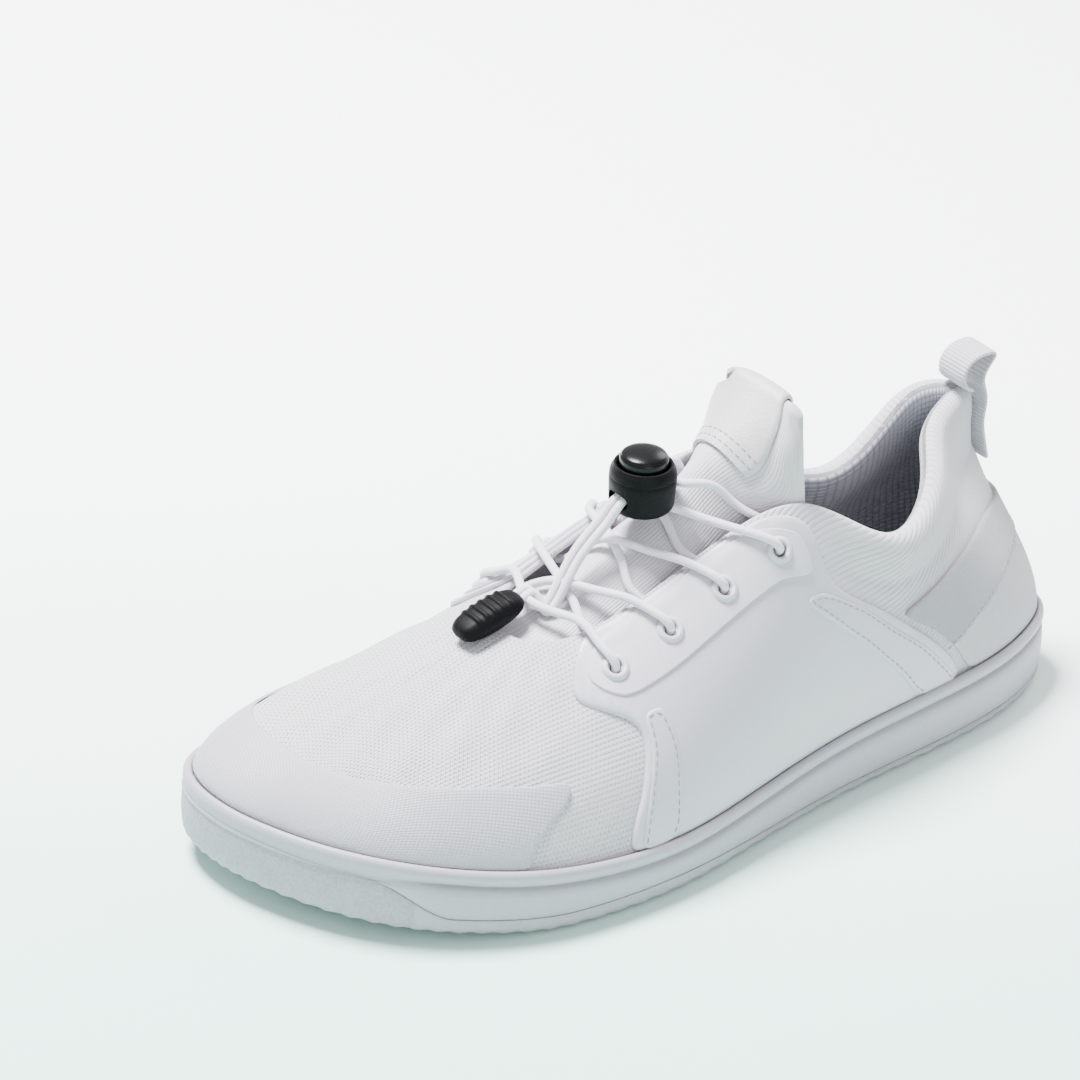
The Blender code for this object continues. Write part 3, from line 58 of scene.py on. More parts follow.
# Sole
SOLE_LENGTH = 288 * MM
BALL_WIDTH = 112 * MM
HEEL_WIDTH = 72 * MM
EDGE_HEIGHT = 23.2 * MM      # bead top over the ground at the heel
TOE_SPRING = 7.4 * MM
LUG_HEIGHT = 1.8 * MM
OUTSOLE_BASE = 2.0 * MM      # rubber above the lugs
MIDSOLE_BASE = 3.8 * MM      # foam under the insole
INSOLE_THICKNESS = 3.0 * MM
GROOVE_DEPTH = 1.2 * MM
SIDE_INSET = 0.2 * MM        # bead and side wall inside the sole's outline
BEAD_HEIGHT = 5.2 * MM       # groove to bead top
BEAD_WIDTH = 3.3 * MM
PARTING_HEIGHT = 5.4 * MM    # outsole's upper edge at the ball
TOE_GUARD_HEIGHT = 15.5 * MM  # outsole's upper edge at the toe
KEY_PITCH = 16.5 * MM
KEY_SIZE = 10.6 * MM
WAVE_PITCH = 9.0 * MM
WAVE_WIDTH = 4.4 * MM
WAVE_SWING = 2.6 * MM
WAVE_LENGTH = 24 * MM
LUG_MARGIN = 5.0 * MM

# Upper
COLLAR_HEIGHT = 92 * MM      # top of the heel collar over the ground
UPPER_WALL = 2.0 * MM
COLLAR_PAD = 7.0 * MM
BEAD_OVERLAP = 4.0 * MM      # how far the upper reaches down inside the bead
SEAM_GAP = 0.3 * MM          # air between two pieces that meet
OVERLAY_GAP = 0.4 * MM       # air under an overlay

# Overlays
PANEL_THICKNESS = 1.1 * MM
PLATE_STEP = 0.7 * MM
TOE_CAP_THICKNESS = 0.8 * MM
COUNTER_THICKNESS = 0.9 * MM
EYELET_HOLE = 4.4 * MM
EYELET_WIDTH = 8.4 * MM
EYELET_HEIGHT = 1.1 * MM

# Tongue
TONGUE_THICKNESS = 4.0 * MM
TONGUE_LACE_ROOM = 5.7 * MM  # room for the lace between eyestay and tongue
TAB_THICKNESS = 1.2 * MM

# Pull loop
LOOP_WIDTH = 12 * MM
LOOP_THICKNESS = 1.4 * MM
LOOP_RISE = 13 * MM

# Lace, lock and clip
LACE_DIAMETER = 2.6 * MM
LOCK_DIAMETER = 20 * MM
LOCK_HEIGHT = 15 * MM
LOCK_BUTTON_DIAMETER = 14.5 * MM
LOCK_BUTTON_RISE = 3.6 * MM
CLIP_LENGTH = 23 * MM
CLIP_WIDTH = 11 * MM
CLIP_HEIGHT = 8 * MM

END_STEPS = 3                # facets between two stations round heel and toe
SIDE_STEPS = 2               # facets between two stations along the sides
SIDE_STATIONS = (3, 9)       # first and last station of the plainer lateral side

# One row for each station of the perimeter, from the heel along the lateral
# side to the toe and back along the medial side.
#   x, y, edge   sole outline as shares of length and local width, bead top as
#                a share of EDGE_HEIGHT
#   top_*        top line of the upper as shares of length, local width and
#                COLLAR_HEIGHT
#   rise, lean   the wall's first handle, up and outwards, in COLLAR_HEIGHT
#   reach, slope the wall's last handle, its length and its angle below level
Station = namedtuple("Station", "x y edge top_x top_y top_z rise lean reach slope")
STATIONS = [Station(*row) for row in (
    (0.000, 0.000, 1.004, 0.062, -0.083, 1.000, 0.261, 0.033, 0.261, 98),
    (0.006, 0.260, 1.009, 0.090, -0.028, 0.984, 0.261, 0.027, 0.261, 92),
    (0.059, 0.436, 1.004, 0.132, 0.056, 0.940, 0.261, 0.016, 0.239, 82),
    (0.139, 0.540, 0.987, 0.174, 0.249, 0.859, 0.239, 0.011, 0.196, 76),
    (0.252, 0.564, 0.974, 0.257, 0.365, 0.788, 0.196, 0.005, 0.185, 76),
    (0.372, 0.525, 0.922, 0.361, 0.263, 0.978, 0.261, 0.005, 0.261, 62),
    (0.491, 0.513, 0.819, 0.444, 0.164, 0.940, 0.283, 0.000, 0.261, 36),
    (0.594, 0.523, 0.767, 0.521, 0.147, 0.848, 0.239, 0.000, 0.283, 30),
    (0.686, 0.522, 0.810, 0.597, 0.135, 0.766, 0.207, 0.000, 0.304, 27),
    (0.773, 0.489, 0.896, 0.646, 0.107, 0.723, 0.185, 0.005, 0.348, 24),
    (0.846, 0.411, 0.930, 0.667, 0.071, 0.712, 0.174, 0.016, 0.391, 20),
    (0.905, 0.304, 0.955, 0.679, 0.036, 0.707, 0.163, 0.027, 0.457, 17),
    (0.955, 0.147, 0.942, 0.684, 0.000, 0.707, 0.152, 0.033, 0.500, 15),
    (0.988, -0.036, 0.916, 0.686, -0.036, 0.707, 0.152, 0.033, 0.522, 14),
    (1.000, -0.179, 0.905, 0.686, -0.062, 0.707, 0.152, 0.033, 0.522, 15),
    (0.994, -0.321, 0.907, 0.682, -0.089, 0.707, 0.163, 0.033, 0.500, 17),
    (0.955, -0.430, 0.933, 0.675, -0.121, 0.710, 0.196, 0.027, 0.435, 20),
    (0.878, -0.471, 0.966, 0.661, -0.152, 0.717, 0.217, 0.016, 0.370, 24),
    (0.790, -0.477, 1.005, 0.637, -0.170, 0.734, 0.228, 0.011, 0.304, 27),
    (0.703, -0.457, 1.009, 0.606, -0.180, 0.766, 0.239, 0.005, 0.261, 30),
    (0.599, -0.402, 1.000, 0.535, -0.192, 0.848, 0.283, 0.000, 0.217, 36),
    (0.495, -0.360, 1.000, 0.458, -0.212, 0.940, 0.326, 0.000, 0.196, 45),
    (0.374, -0.362, 1.000, 0.365, -0.251, 0.978, 0.283, 0.000, 0.217, 62),
    (0.252, -0.422, 1.000, 0.247, -0.270, 0.788, 0.196, 0.005, 0.185, 76),
    (0.141, -0.464, 1.000, 0.167, -0.284, 0.848, 0.217, 0.011, 0.196, 78),
    (0.062, -0.392, 1.000, 0.118, -0.271, 0.973, 0.261, 0.016, 0.239, 86),
    (0.016, -0.222, 1.004, 0.076, -0.201, 1.000, 0.261, 0.027, 0.261, 94),
)]
COUNT = len(STATIONS)

# Overlay outlines on the upper: station along the perimeter, share up the
# wall. A share of 0 is laid on the top of the bead.
Edge = namedtuple("Edge", "station share")
PANEL_OUTLINE = [Edge(*row) for row in (
    (3.40, 0), (3.90, 0), (4.40, 0), (4.90, 0), (5.40, 0), (5.90, 0),
    (6.40, 0), (6.90, 0), (7.40, 0), (7.86, 0), (7.80, 0.19), (7.67, 0.31),
    (7.62, 0.43), (7.66, 0.52), (7.84, 0.59), (8.20, 0.66), (8.62, 0.73),
    (8.76, 0.78), (8.77, 0.85), (8.68, 0.94), (8.50, 0.98), (8.00, 0.98),
    (7.50, 0.98), (7.00, 0.98), (6.50, 0.98), (6.00, 0.98), (5.66, 0.98),
    (5.32, 0.955), (5.14, 0.92), (5.07, 0.86), (5.02, 0.76), (4.94, 0.69),
    (4.75, 0.645), (4.41, 0.605), (4.10, 0.525), (3.83, 0.403), (3.58, 0.24),
)]
PLATE_OUTLINE = [Edge(*row) for row in (
    (7.84, 0.665), (8.22, 0.73), (8.50, 0.80), (8.46, 0.90), (8.00, 0.955),
    (7.00, 0.955), (6.00, 0.955), (5.60, 0.93), (5.27, 0.885), (5.20, 0.82),
    (5.17, 0.72), (5.54, 0.735), (5.85, 0.71), (6.25, 0.688), (7.05, 0.670),
)]
TOE_CAP_OUTLINE = [Edge(*row) for row in (
    (9.20, 0), (9.7, 0), (10.2, 0), (10.7, 0), (11.2, 0), (11.7, 0),
    (12.2, 0), (12.7, 0), (13.2, 0), (13.7, 0), (14.2, 0), (14.7, 0),
    (15.2, 0), (15.7, 0), (16.2, 0), (16.7, 0), (17.2, 0), (17.75, 0),
    (17.92, 0.23), (18.15, 0.30), (18.20, 0.36), (17.95, 0.385), (17.4, 0.375),
    (16.9, 0.36), (16.34, 0.352), (15.95, 0.366), (15.3, 0.40), (14.6, 0.423),
    (13.8, 0.424), (12.9, 0.418), (12.2, 0.425), (11.6, 0.441), (11.0, 0.452),
    (10.3, 0.457), (9.6, 0.459), (9.05, 0.457), (8.80, 0.452), (8.69, 0.416),
    (8.74, 0.36), (8.92, 0.305), (9.09, 0.22), (9.18, 0.13),
)]
# The counter's lateral half; the medial half is its mirror image.
COUNTER_OUTLINE = [Edge(*row) for row in (
    (0.0, 0), (0.5, 0), (1.0, 0), (1.5, 0), (2.0, 0), (2.5, 0),
    (3.0, 0), (3.28, 0), (3.46, 0.24), (3.70, 0.40), (3.94, 0.50),
    (4.10, 0.565), (3.74, 0.61), (3.27, 0.615), (2.46, 0.573), (1.52, 0.55),
    (0.8, 0.535), (0.0, 0.53),
)]
EYELETS = [Edge(8.03, 0.792), Edge(7.18, 0.803), Edge(6.33, 0.804), Edge(5.55, 0.838)]

# Tongue rows from the end under the vamp to its top. The row spans from the
# lateral station to its mirror image at a share up the wall.
#   drop    room under the upper
#   lift    height that the ends rise over the wall, in COLLAR_HEIGHT
#   narrow  share by which the ends draw together
#   flat    how flat the crest is
#   crest_* middle of the row, in SOLE_LENGTH, BALL_WIDTH and COLLAR_HEIGHT
TongueRow = namedtuple("TongueRow", "station share drop lift narrow flat crest_x crest_y crest_z")
TONGUE_ROWS = [TongueRow(*row) for row in (
    (10.0, 0.86, SEAM_GAP, 0, 0, 0.80, 0.700, -0.033, 0.648),
    (9.2, 0.86, SEAM_GAP, 0, 0, 0.80, 0.673, -0.030, 0.672),
    (8.5, 0.88, TONGUE_LACE_ROOM * 0.7, 0, 0, 0.60, 0.640, -0.026, 0.700),
    (7.7, 0.87, TONGUE_LACE_ROOM, 0, 0.02, 0.30, 0.590, -0.020, 0.780),
    (6.9, 0.87, TONGUE_LACE_ROOM, 0, 0.03, 0.30, 0.532, -0.016, 0.885),
    (6.2, 0.88, TONGUE_LACE_ROOM, 0, 0.06, 0.30, 0.489, -0.014, 0.960),
    (5.45, 0.90, TONGUE_LACE_ROOM, 0, 0.11, 0.30, 0.446, -0.012, 1.070),
    (5.25, 0.915, TONGUE_LACE_ROOM * 0.6, 0, 0.08, 0.55, 0.431, -0.011, 1.105),
    (5.05, 0.93, SEAM_GAP * 2, 0, 0.05, 0.65, 0.416, -0.010, 1.142),
    (5.05, 0.93, SEAM_GAP * 2, 0.16, 0.05, 0.80, 0.395, -0.010, 1.195),
    (5.05, 0.93, SEAM_GAP * 2, 0.27, 0.08, 0.90, 0.379, -0.012, 1.238),
    (5.05, 0.93, SEAM_GAP * 2, 0.345, 0.13, 0.92, 0.367, -0.014, 1.272),
)]

TONGUE_COLUMNS = 8
LACE_LOW = LACE_DIAMETER / 2 + 0.4 * MM        # lace centre over the tongue
LOCK_STATION = 6.5

PHOTO = 1080                 # pixels of the square photograph
CLOTH_RADIUS = 50 * MM       # radius at which angles round the shoe are laid flat as cloth

# Stitched strips and suede seam on the wall, as station and share.
FRONT_STRIP = [Edge(*row) for row in (
    (7.65, 0.582), (7.43, 0.579), (7.33, 0.550), (7.18, 0.433), (7.14, 0.329),
    (7.15, 0.062), (7.72, 0.05), (7.67, 0.174), (7.58, 0.348), (7.54, 0.445),
)]
REAR_STRIP = [Edge(*row) for row in (
    (5.04, 0.65), (4.88, 0.633), (4.50, 0.582), (3.95, 0.40), (3.64, 0.19),
    (3.46, 0.05), (3.97, 0.056), (4.21, 0.257), (4.56, 0.418), (4.92, 0.517),
    (5.295, 0.618), (5.26, 0.641), (5.15, 0.653),
)]
SUEDE_SEAM = [Edge(*row) for row in (
    (0.0, 0.385), (0.8, 0.378), (1.67, 0.360), (2.42, 0.335), (3.12, 0.292),
    (3.56, 0.236),
)]
BRAID_PITCH = 0.8 * MM       # one strand of the lace's braid
WALL_GIRTH = 75 * MM         # length of the wall from bead to top line, laid flat as cloth
STATION_GIRTH = 15.5 * MM    # one station round the shoe, laid flat as cloth
CREASE = math.radians(40)    # edges sharper than this stay sharp on cut and repeated pieces


# Shape of the last

def smooth(value: np.ndarray) -> np.ndarray:
    """Ease from 0 to 1."""
    value = np.clip(value, 0, 1)
    return value * value * (3 - 2 * value)


def run(points: np.ndarray) -> np.ndarray:
    """Distance along a route to each of its points."""
    return np.concatenate([[0], np.cumsum(np.linalg.norm(np.diff(points, axis=0), axis=1))])


def natural_curve(rows: np.ndarray, knots: np.ndarray, where: np.ndarray) -> tuple:
    """Smooth open curve through rows of numbers.

    Args:
        rows: One row for each knot.
        knots: Place of each row along the curve.
        where: Places to read.

    Returns:
        The rows read there, and their row numbers with the share on to the next.
    """
    count = len(knots)
    gaps = np.diff(knots)
    system = np.eye(count)
    right = np.zeros_like(rows)
    for i in range(1, count - 1):
        system[i, i - 1:i + 2] = gaps[i - 1], 2 * (gaps[i - 1] + gaps[i]), gaps[i]
        right[i] = 6 * ((rows[i + 1] - rows[i]) / gaps[i] - (rows[i] - rows[i - 1]) / gaps[i - 1])
    bend = np.linalg.solve(system, right)
    k = np.clip(np.searchsorted(knots, where, side="right") - 1, 0, count - 2)
    gap = gaps[k][:, None]
    t = (where - knots[k])[:, None] / gap
    s = 1 - t
    bent = ((s**3 - s) * bend[k] + (t**3 - t) * bend[k + 1]) * gap**2 / 6
    return rows[k] * s + rows[k + 1] * t + bent, k + t[:, 0]


def smooth_route(points: Sequence, pitch: float) -> np.ndarray:
    """Even points on a smooth curve through a route's own points.

    Args:
        points: Points of the route, in order.
        pitch: Distance between the points of the result.

    Returns:
        Points along the curve, one row each.
    """
    points = np.array(points, float)
    knots = run(points)
    where = np.linspace(0, knots[-1], max(2, round(knots[-1] / pitch)) + 1)
    return natural_curve(points, knots, where)[0]


def unit(vectors: np.ndarray) -> np.ndarray:
    """Vectors scaled to a length of 1."""
    return vectors / np.linalg.norm(vectors, axis=-1, keepdims=True)


def sheet_normals(sheet: np.ndarray) -> np.ndarray:
    """Normals of a grid of points, turned upwards."""
    normal = unit(np.cross(np.gradient(sheet, axis=1), np.gradient(sheet, axis=0)))
    return -normal if normal[..., 2].mean() < 0 else normal


def circle(sides: int) -> np.ndarray:
    """Angles of the points of a ring."""
    return 2 * np.pi * np.arange(sides) / sides


def squared(value: float, power: float) -> float:
    """Sine or cosine with its sign, for a ring between round and square."""
    return math.copysign(abs(value) ** power, value)


class Spline:
    """Smooth closed curve through a table's rows, read at station numbers."""

    def __init__(self, rows: np.ndarray) -> None:
        """Solve the curve's bends once."""
        self.rows = np.asarray(rows, float)
        count = len(self.rows)
        index = np.arange(count)
        system = np.zeros((count, count))
        system[index, index] = 4
        system[index, (index + 1) % count] = 1
        system[index, (index - 1) % count] = 1
        ahead = np.roll(self.rows, -1, 0)
        self.bend = np.linalg.solve(system, 6 * (np.roll(self.rows, 1, 0) - 2 * self.rows + ahead))

    def at(self, stations: np.ndarray) -> np.ndarray:
        """Rows of the table at any stations."""
        count = len(self.rows)
        stations = np.asarray(stations, float) % count
        low = np.floor(stations).astype(int) % count
        high = (low + 1) % count
        t = (stations - np.floor(stations))[..., None]
        s = 1 - t
        bent = ((s**3 - s) * self.bend[low] + (t**3 - t) * self.bend[high]) / 6
        return self.rows[low] * s + self.rows[high] * t + bent


class Last:
    """Sole outline, upper wall and tongue as functions of station and share, in the part's frame."""

    def __init__(self) -> None:
        """Read the tables and find the shift to the part's frame."""
        table = np.array(STATIONS, float)
        x = table[:, 0] * SOLE_LENGTH
        top_x = table[:, 3] * SOLE_LENGTH
        edge = self.ground(x) + table[:, 2] * EDGE_HEIGHT
        self.sole = Spline(np.column_stack([x, table[:, 1] * self.local_width(x), edge]))
        wall = [top_x, table[:, 4] * self.local_width(top_x), table[:, 5] * COLLAR_HEIGHT]
        self.wall = Spline(np.column_stack(wall + [table[:, 6:9] * COLLAR_HEIGHT, np.radians(table[:, 9])]))
        self.shift = np.zeros(3)
        plan = self.outline(self.perimeter(), SIDE_INSET)[0]
        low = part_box("midsole")[0]
        self.shift = np.array([plan[:, 0].min() - low[0], plan[:, 1].min() - low[1], 0.0])
        self.rows = np.array([self.tongue_row(row) for row in TONGUE_ROWS])

    @staticmethod
    def perimeter() -> np.ndarray:
        """Stations of the solid's own facets."""
        first, last = SIDE_STATIONS
        stations = []
        for start in range(COUNT):
            on_side = first <= start < last or COUNT - last <= start < COUNT - first
            steps = SIDE_STEPS if on_side else END_STEPS
            stations += [start + step / steps for step in range(steps)]
        return np.array(stations)

    @staticmethod
    def local_width(x: np.ndarray) -> np.ndarray:
        """Named width that a section at x follows."""
        return HEEL_WIDTH + (BALL_WIDTH - HEEL_WIDTH) * smooth((x / SOLE_LENGTH - 0.15) / 0.5)

    @staticmethod
    def ground(x: np.ndarray) -> np.ndarray:
        """Height of the sole's underside over the floor."""
        start = 0.745
        return TOE_SPRING * np.clip((x / SOLE_LENGTH - start) / (1 - start), 0, None) ** 1.3

    def outline(self, stations: np.ndarray, inset: float) -> tuple:
        """Sole outline moved inwards.

        Args:
            stations: Stations round the shoe.
            inset: Distance inwards, in metres.

        Returns:
            Points in plan, the bead's height and the outward direction.
        """
        stations = np.asarray(stations, float)
        here = self.sole.at(stations)
        step = 1e-3
        along = unit((self.sole.at(stations + step) - self.sole.at(stations - step))[..., :2])
        outward = np.stack([-along[..., 1], along[..., 0]], -1)
        inset = np.broadcast_to(np.asarray(inset, float), stations.shape)
        return here[..., :2] - outward * inset[..., None] - self.shift[:2], here[..., 2], outward

    def wall_point(self, stations: np.ndarray, share: np.ndarray) -> np.ndarray:
        """Outer face of the upper at stations and shares up its wall."""
        stations, share = np.broadcast_arrays(np.asarray(stations, float), np.asarray(share, float))
        plan, edge, outward = self.outline(stations, BEAD_WIDTH + SEAM_GAP)
        foot = np.concatenate([plan, (edge - BEAD_OVERLAP)[..., None]], -1)
        top, rise, lean, reach, slope = np.split(self.wall.at(stations), [3, 4, 5, 6], -1)
        top = top - self.shift
        first = foot + np.concatenate([outward * lean, rise], -1)
        spread = unit(foot[..., :2] - top[..., :2])
        last = top + reach * np.concatenate([spread * np.cos(slope), -np.sin(slope)], -1)
        v = share[..., None]
        w = 1 - v
        return foot * w**3 + 3 * first * w * w * v + 3 * last * w * v * v + top * v**3

    def wall_normal(self, stations: np.ndarray, share: np.ndarray) -> np.ndarray:
        """Outward normal of the upper's outer face."""
        step = 1e-3
        share = np.clip(share, step, 1 - step)
        along = self.wall_point(stations + step, share) - self.wall_point(stations - step, share)
        up = self.wall_point(stations, share + step) - self.wall_point(stations, share - step)
        return unit(np.cross(up, along))

    def on_wall(self, stations: np.ndarray, share: np.ndarray, height: np.ndarray) -> np.ndarray:
        """Points at a height over the upper's outer face."""
        stations, share = np.broadcast_arrays(np.asarray(stations, float), np.asarray(share, float))
        normal = self.wall_normal(stations, share)
        return self.wall_point(stations, share) + normal * np.asarray(height)[..., None]

    def collar_share(self, stations: np.ndarray) -> np.ndarray:
        """1 along the padded collar, 0 along the throat and the vamp."""
        x = self.wall.at(stations)[..., 0] / SOLE_LENGTH
        return 1 - smooth((x - 0.31) / 0.07)

    def wall_thickness(self, stations: np.ndarray, share: np.ndarray) -> np.ndarray:
        """Wall of the upper, thicker where the collar is padded."""
        pad = (COLLAR_PAD - UPPER_WALL) * self.collar_share(stations) * smooth((share - 0.45) / 0.4)
        return UPPER_WALL + pad

    def tongue_row(self, row: "TongueRow", columns: int = TONGUE_COLUMNS) -> np.ndarray:
        """Points of one tongue row from its lateral to its medial edge."""
        ends = []
        for station in (row.station, COUNT - row.station):
            station, share = np.array(float(station)), np.array(row.share)
            thick = float(self.wall_thickness(station, share))
            if self.collar_share(station) > 0.02:
                thick *= math.sqrt(1 - 0.80 * np.clip((row.share - 0.86) / 0.14, 0, 1) ** 2)
            ends.append(self.on_wall(station, share, -(thick + row.drop + TONGUE_THICKNESS / 2)))
        rise = np.array([0, 0, row.lift * COLLAR_HEIGHT])
        middle = (ends[0] + ends[1]) / 2
        ends = [end + (middle - end) * row.narrow * 2 + rise for end in ends]
        crest = np.array([row.crest_x * SOLE_LENGTH, row.crest_y * BALL_WIDTH, row.crest_z * COLLAR_HEIGHT])
        pull = (8 * (crest - self.shift) - ends[0] - ends[1]) / 6
        half_span = (ends[0] - ends[1]) / 2 * row.flat
        t = np.linspace(0, 1, columns + 1)[:, None]
        s = 1 - t
        return (ends[0] * s**3 + 3 * (pull + half_span) * s * s * t + 3 * (pull - half_span) * s * t * t
                + ends[1] * t**3)

    def tongue_at(self, station: float, across: float, height: float) -> np.ndarray:
        """Point over the tongue's outer face, at a station and a share across it."""
        sheet, normal = self.rows, sheet_normals(self.rows)
        columns = np.linspace(-1, 1, TONGUE_COLUMNS + 1)
        shape = np.sqrt(np.clip(1 - 0.75 * columns**6, 0.1, 1))
        along = 0.55 + 0.45 * smooth(np.linspace(0, 1, len(TONGUE_ROWS)) / 0.3)
        half = TONGUE_THICKNESS * along[:, None] * shape[None, :] / 2
        under_wall = [row.station for row in TONGUE_ROWS if row.lift == 0]
        row = np.interp(-station, [-s for s in under_wall], np.arange(len(under_wall)))
        column = across * TONGUE_COLUMNS
        r, c = min(int(row), len(TONGUE_ROWS) - 2), min(int(column), TONGUE_COLUMNS - 1)
        a, b = row - r, column - c

        def mixed(grid: np.ndarray) -> np.ndarray:
            """Value between four points of a grid."""
            near = grid[r, c] * (1 - b) + grid[r, c + 1] * b
            far = grid[r + 1, c] * (1 - b) + grid[r + 1, c + 1] * b
            return near * (1 - a) + far * a

        return mixed(sheet) + mixed(normal) * (mixed(half) + height)


# Shader maths

class Value:
    """A socket that carries a number, with arithmetic that adds Math nodes."""

    def __init__(self, kit: "NodeKit", socket: bpy.types.NodeSocket) -> None:
        self.kit = kit
        self.socket = socket

    def __add__(self, other: "Value | float") -> "Value":
        """Sum."""
        return self.kit.math("ADD", self, other)

    def __sub__(self, other: "Value | float") -> "Value":
        """Difference."""
        return self.kit.math("SUBTRACT", self, other)

    def __rsub__(self, other: float) -> "Value":
        """Difference from a number."""
        return self.kit.math("SUBTRACT", other, self)

    def __mul__(self, other: "Value | float") -> "Value":
        """Product."""
        return self.kit.math("MULTIPLY", self, other)

    def __truediv__(self, other: "Value | float") -> "Value":
        """Quotient."""
        return self.kit.math("DIVIDE", self, other)

    def __pow__(self, other: float) -> "Value":
        """Power."""
        return self.kit.math("POWER", self, other)

    __radd__ = __add__
    __rmul__ = __mul__

    def wave(self, turns: float = 1.0) -> "Value":
        """Sine of a number of turns for each whole step."""
        return self.kit.math("SINE", self * (2 * math.pi * turns))

    def size(self) -> "Value":
        """Value without its sign."""
        return self.kit.math("ABSOLUTE", self)

    def eased(self, low: float, high: float) -> "Value":
        """0 below low, 1 above high and smooth between them."""
        made = self.kit.node("ShaderNodeMapRange", {"interpolation_type": "SMOOTHSTEP"},
                             {"Value": self, "From Min": low, "From Max": high})
        return Value(self.kit, made.outputs[0])


class NodeKit:
    """One material's node tree, with one method for any node."""

    def __init__(self, name: str) -> None:
        """Start a material on its Principled shader."""
        self.material = bpy.data.materials.new(name)
        self.material.use_nodes = True
        self.tree = self.material.node_tree
        self.shader = self.tree.nodes["Principled BSDF"]

    def node(self, kind: str, settings: Optional[dict] = None,
             inputs: Optional[dict] = None) -> bpy.types.Node:
        """Add a node.

        Args:
            kind: Type name of the node.
            settings: Its own settings, set before its sockets.
            inputs: Values or wrapped sockets by name or index.

        Returns:
            The new node.
        """
        made = self.tree.nodes.new(kind)
        for key, value in (settings or {}).items():
            setattr(made, key, value)
        for key, value in (inputs or {}).items():
            self.feed(made.inputs[key], value)
        return made

    def feed(self, socket: bpy.types.NodeSocket, value: object) -> None:
        """Set a socket, or link it where the value is a socket."""
        if isinstance(value, Value):
            self.tree.links.new(value.socket, socket)
        else:
            socket.default_value = value

    def math(self, operation: str, first: object, second: object = 0.0) -> Value:
        """One Math node."""
        made = self.node("ShaderNodeMath", {"operation": operation}, {0: first, 1: second})
        return Value(self, made.outputs[0])

    def mix(self, share: object, first: object, second: object) -> Value:
        """Mix two colours."""
        made = self.node("ShaderNodeMix", {"data_type": "RGBA"}, {0: share, 6: first, 7: second})
        return Value(self, made.outputs[2])

    def cloth(self, angle: float = 0.0) -> tuple:
        """The piece's own flat coordinates, turned by an angle, in metres."""
        spot = self.node("ShaderNodeUVMap", {"uv_map": "Cloth"})
        flat = self.node("ShaderNodeSeparateXYZ", None, {0: Value(self, spot.outputs[0])})
        u, v = Value(self, flat.outputs[0]), Value(self, flat.outputs[1])
        if not angle:
            return u, v
        c, s = math.cos(angle), math.sin(angle)
        return u * c + v * s, v * c - u * s

    def noise(self, size: float, detail: float = 3.0, roughness: float = 0.55) -> Value:
        """Even noise whose lumps have a size in metres."""
        place = self.node("ShaderNodeTexCoord")
        made = self.node("ShaderNodeTexNoise", None, {
            "Vector": Value(self, place.outputs["Object"]), "Scale": 1 / size, "Detail": detail,
            "Roughness": roughness})
        return Value(self, made.outputs[0])

    def cells(self, size: float) -> Value:
        """Distance to the nearest of many scattered points."""
        place = self.node("ShaderNodeTexCoord")
        made = self.node("ShaderNodeTexVoronoi", None, {
            "Vector": Value(self, place.outputs["Object"]), "Scale": 1 / size})
        return Value(self, made.outputs[0])

    def relief(self, height: Value, depth: float) -> None:
        """Feed a height from 0 to 1 to the shader's normal, with its real depth in metres."""
        made = self.node("ShaderNodeBump", None, {"Height": height, "Distance": depth, "Strength": 1.0})
        self.tree.links.new(made.outputs[0], self.shader.inputs["Normal"])


class Pattern(Enum):
    """Surface structures of the shoe."""

    KNIT = "knit"
    RIB = "rib"
    PIQUE = "pique"
    WEAVE = "weave"
    GRAIN = "grain"
    SUEDE = "suede"
    FELT = "felt"
    RIBBON = "ribbon"
    BRAID = "braid"
    SMOOTH = "smooth"
    PEBBLE = "pebble"


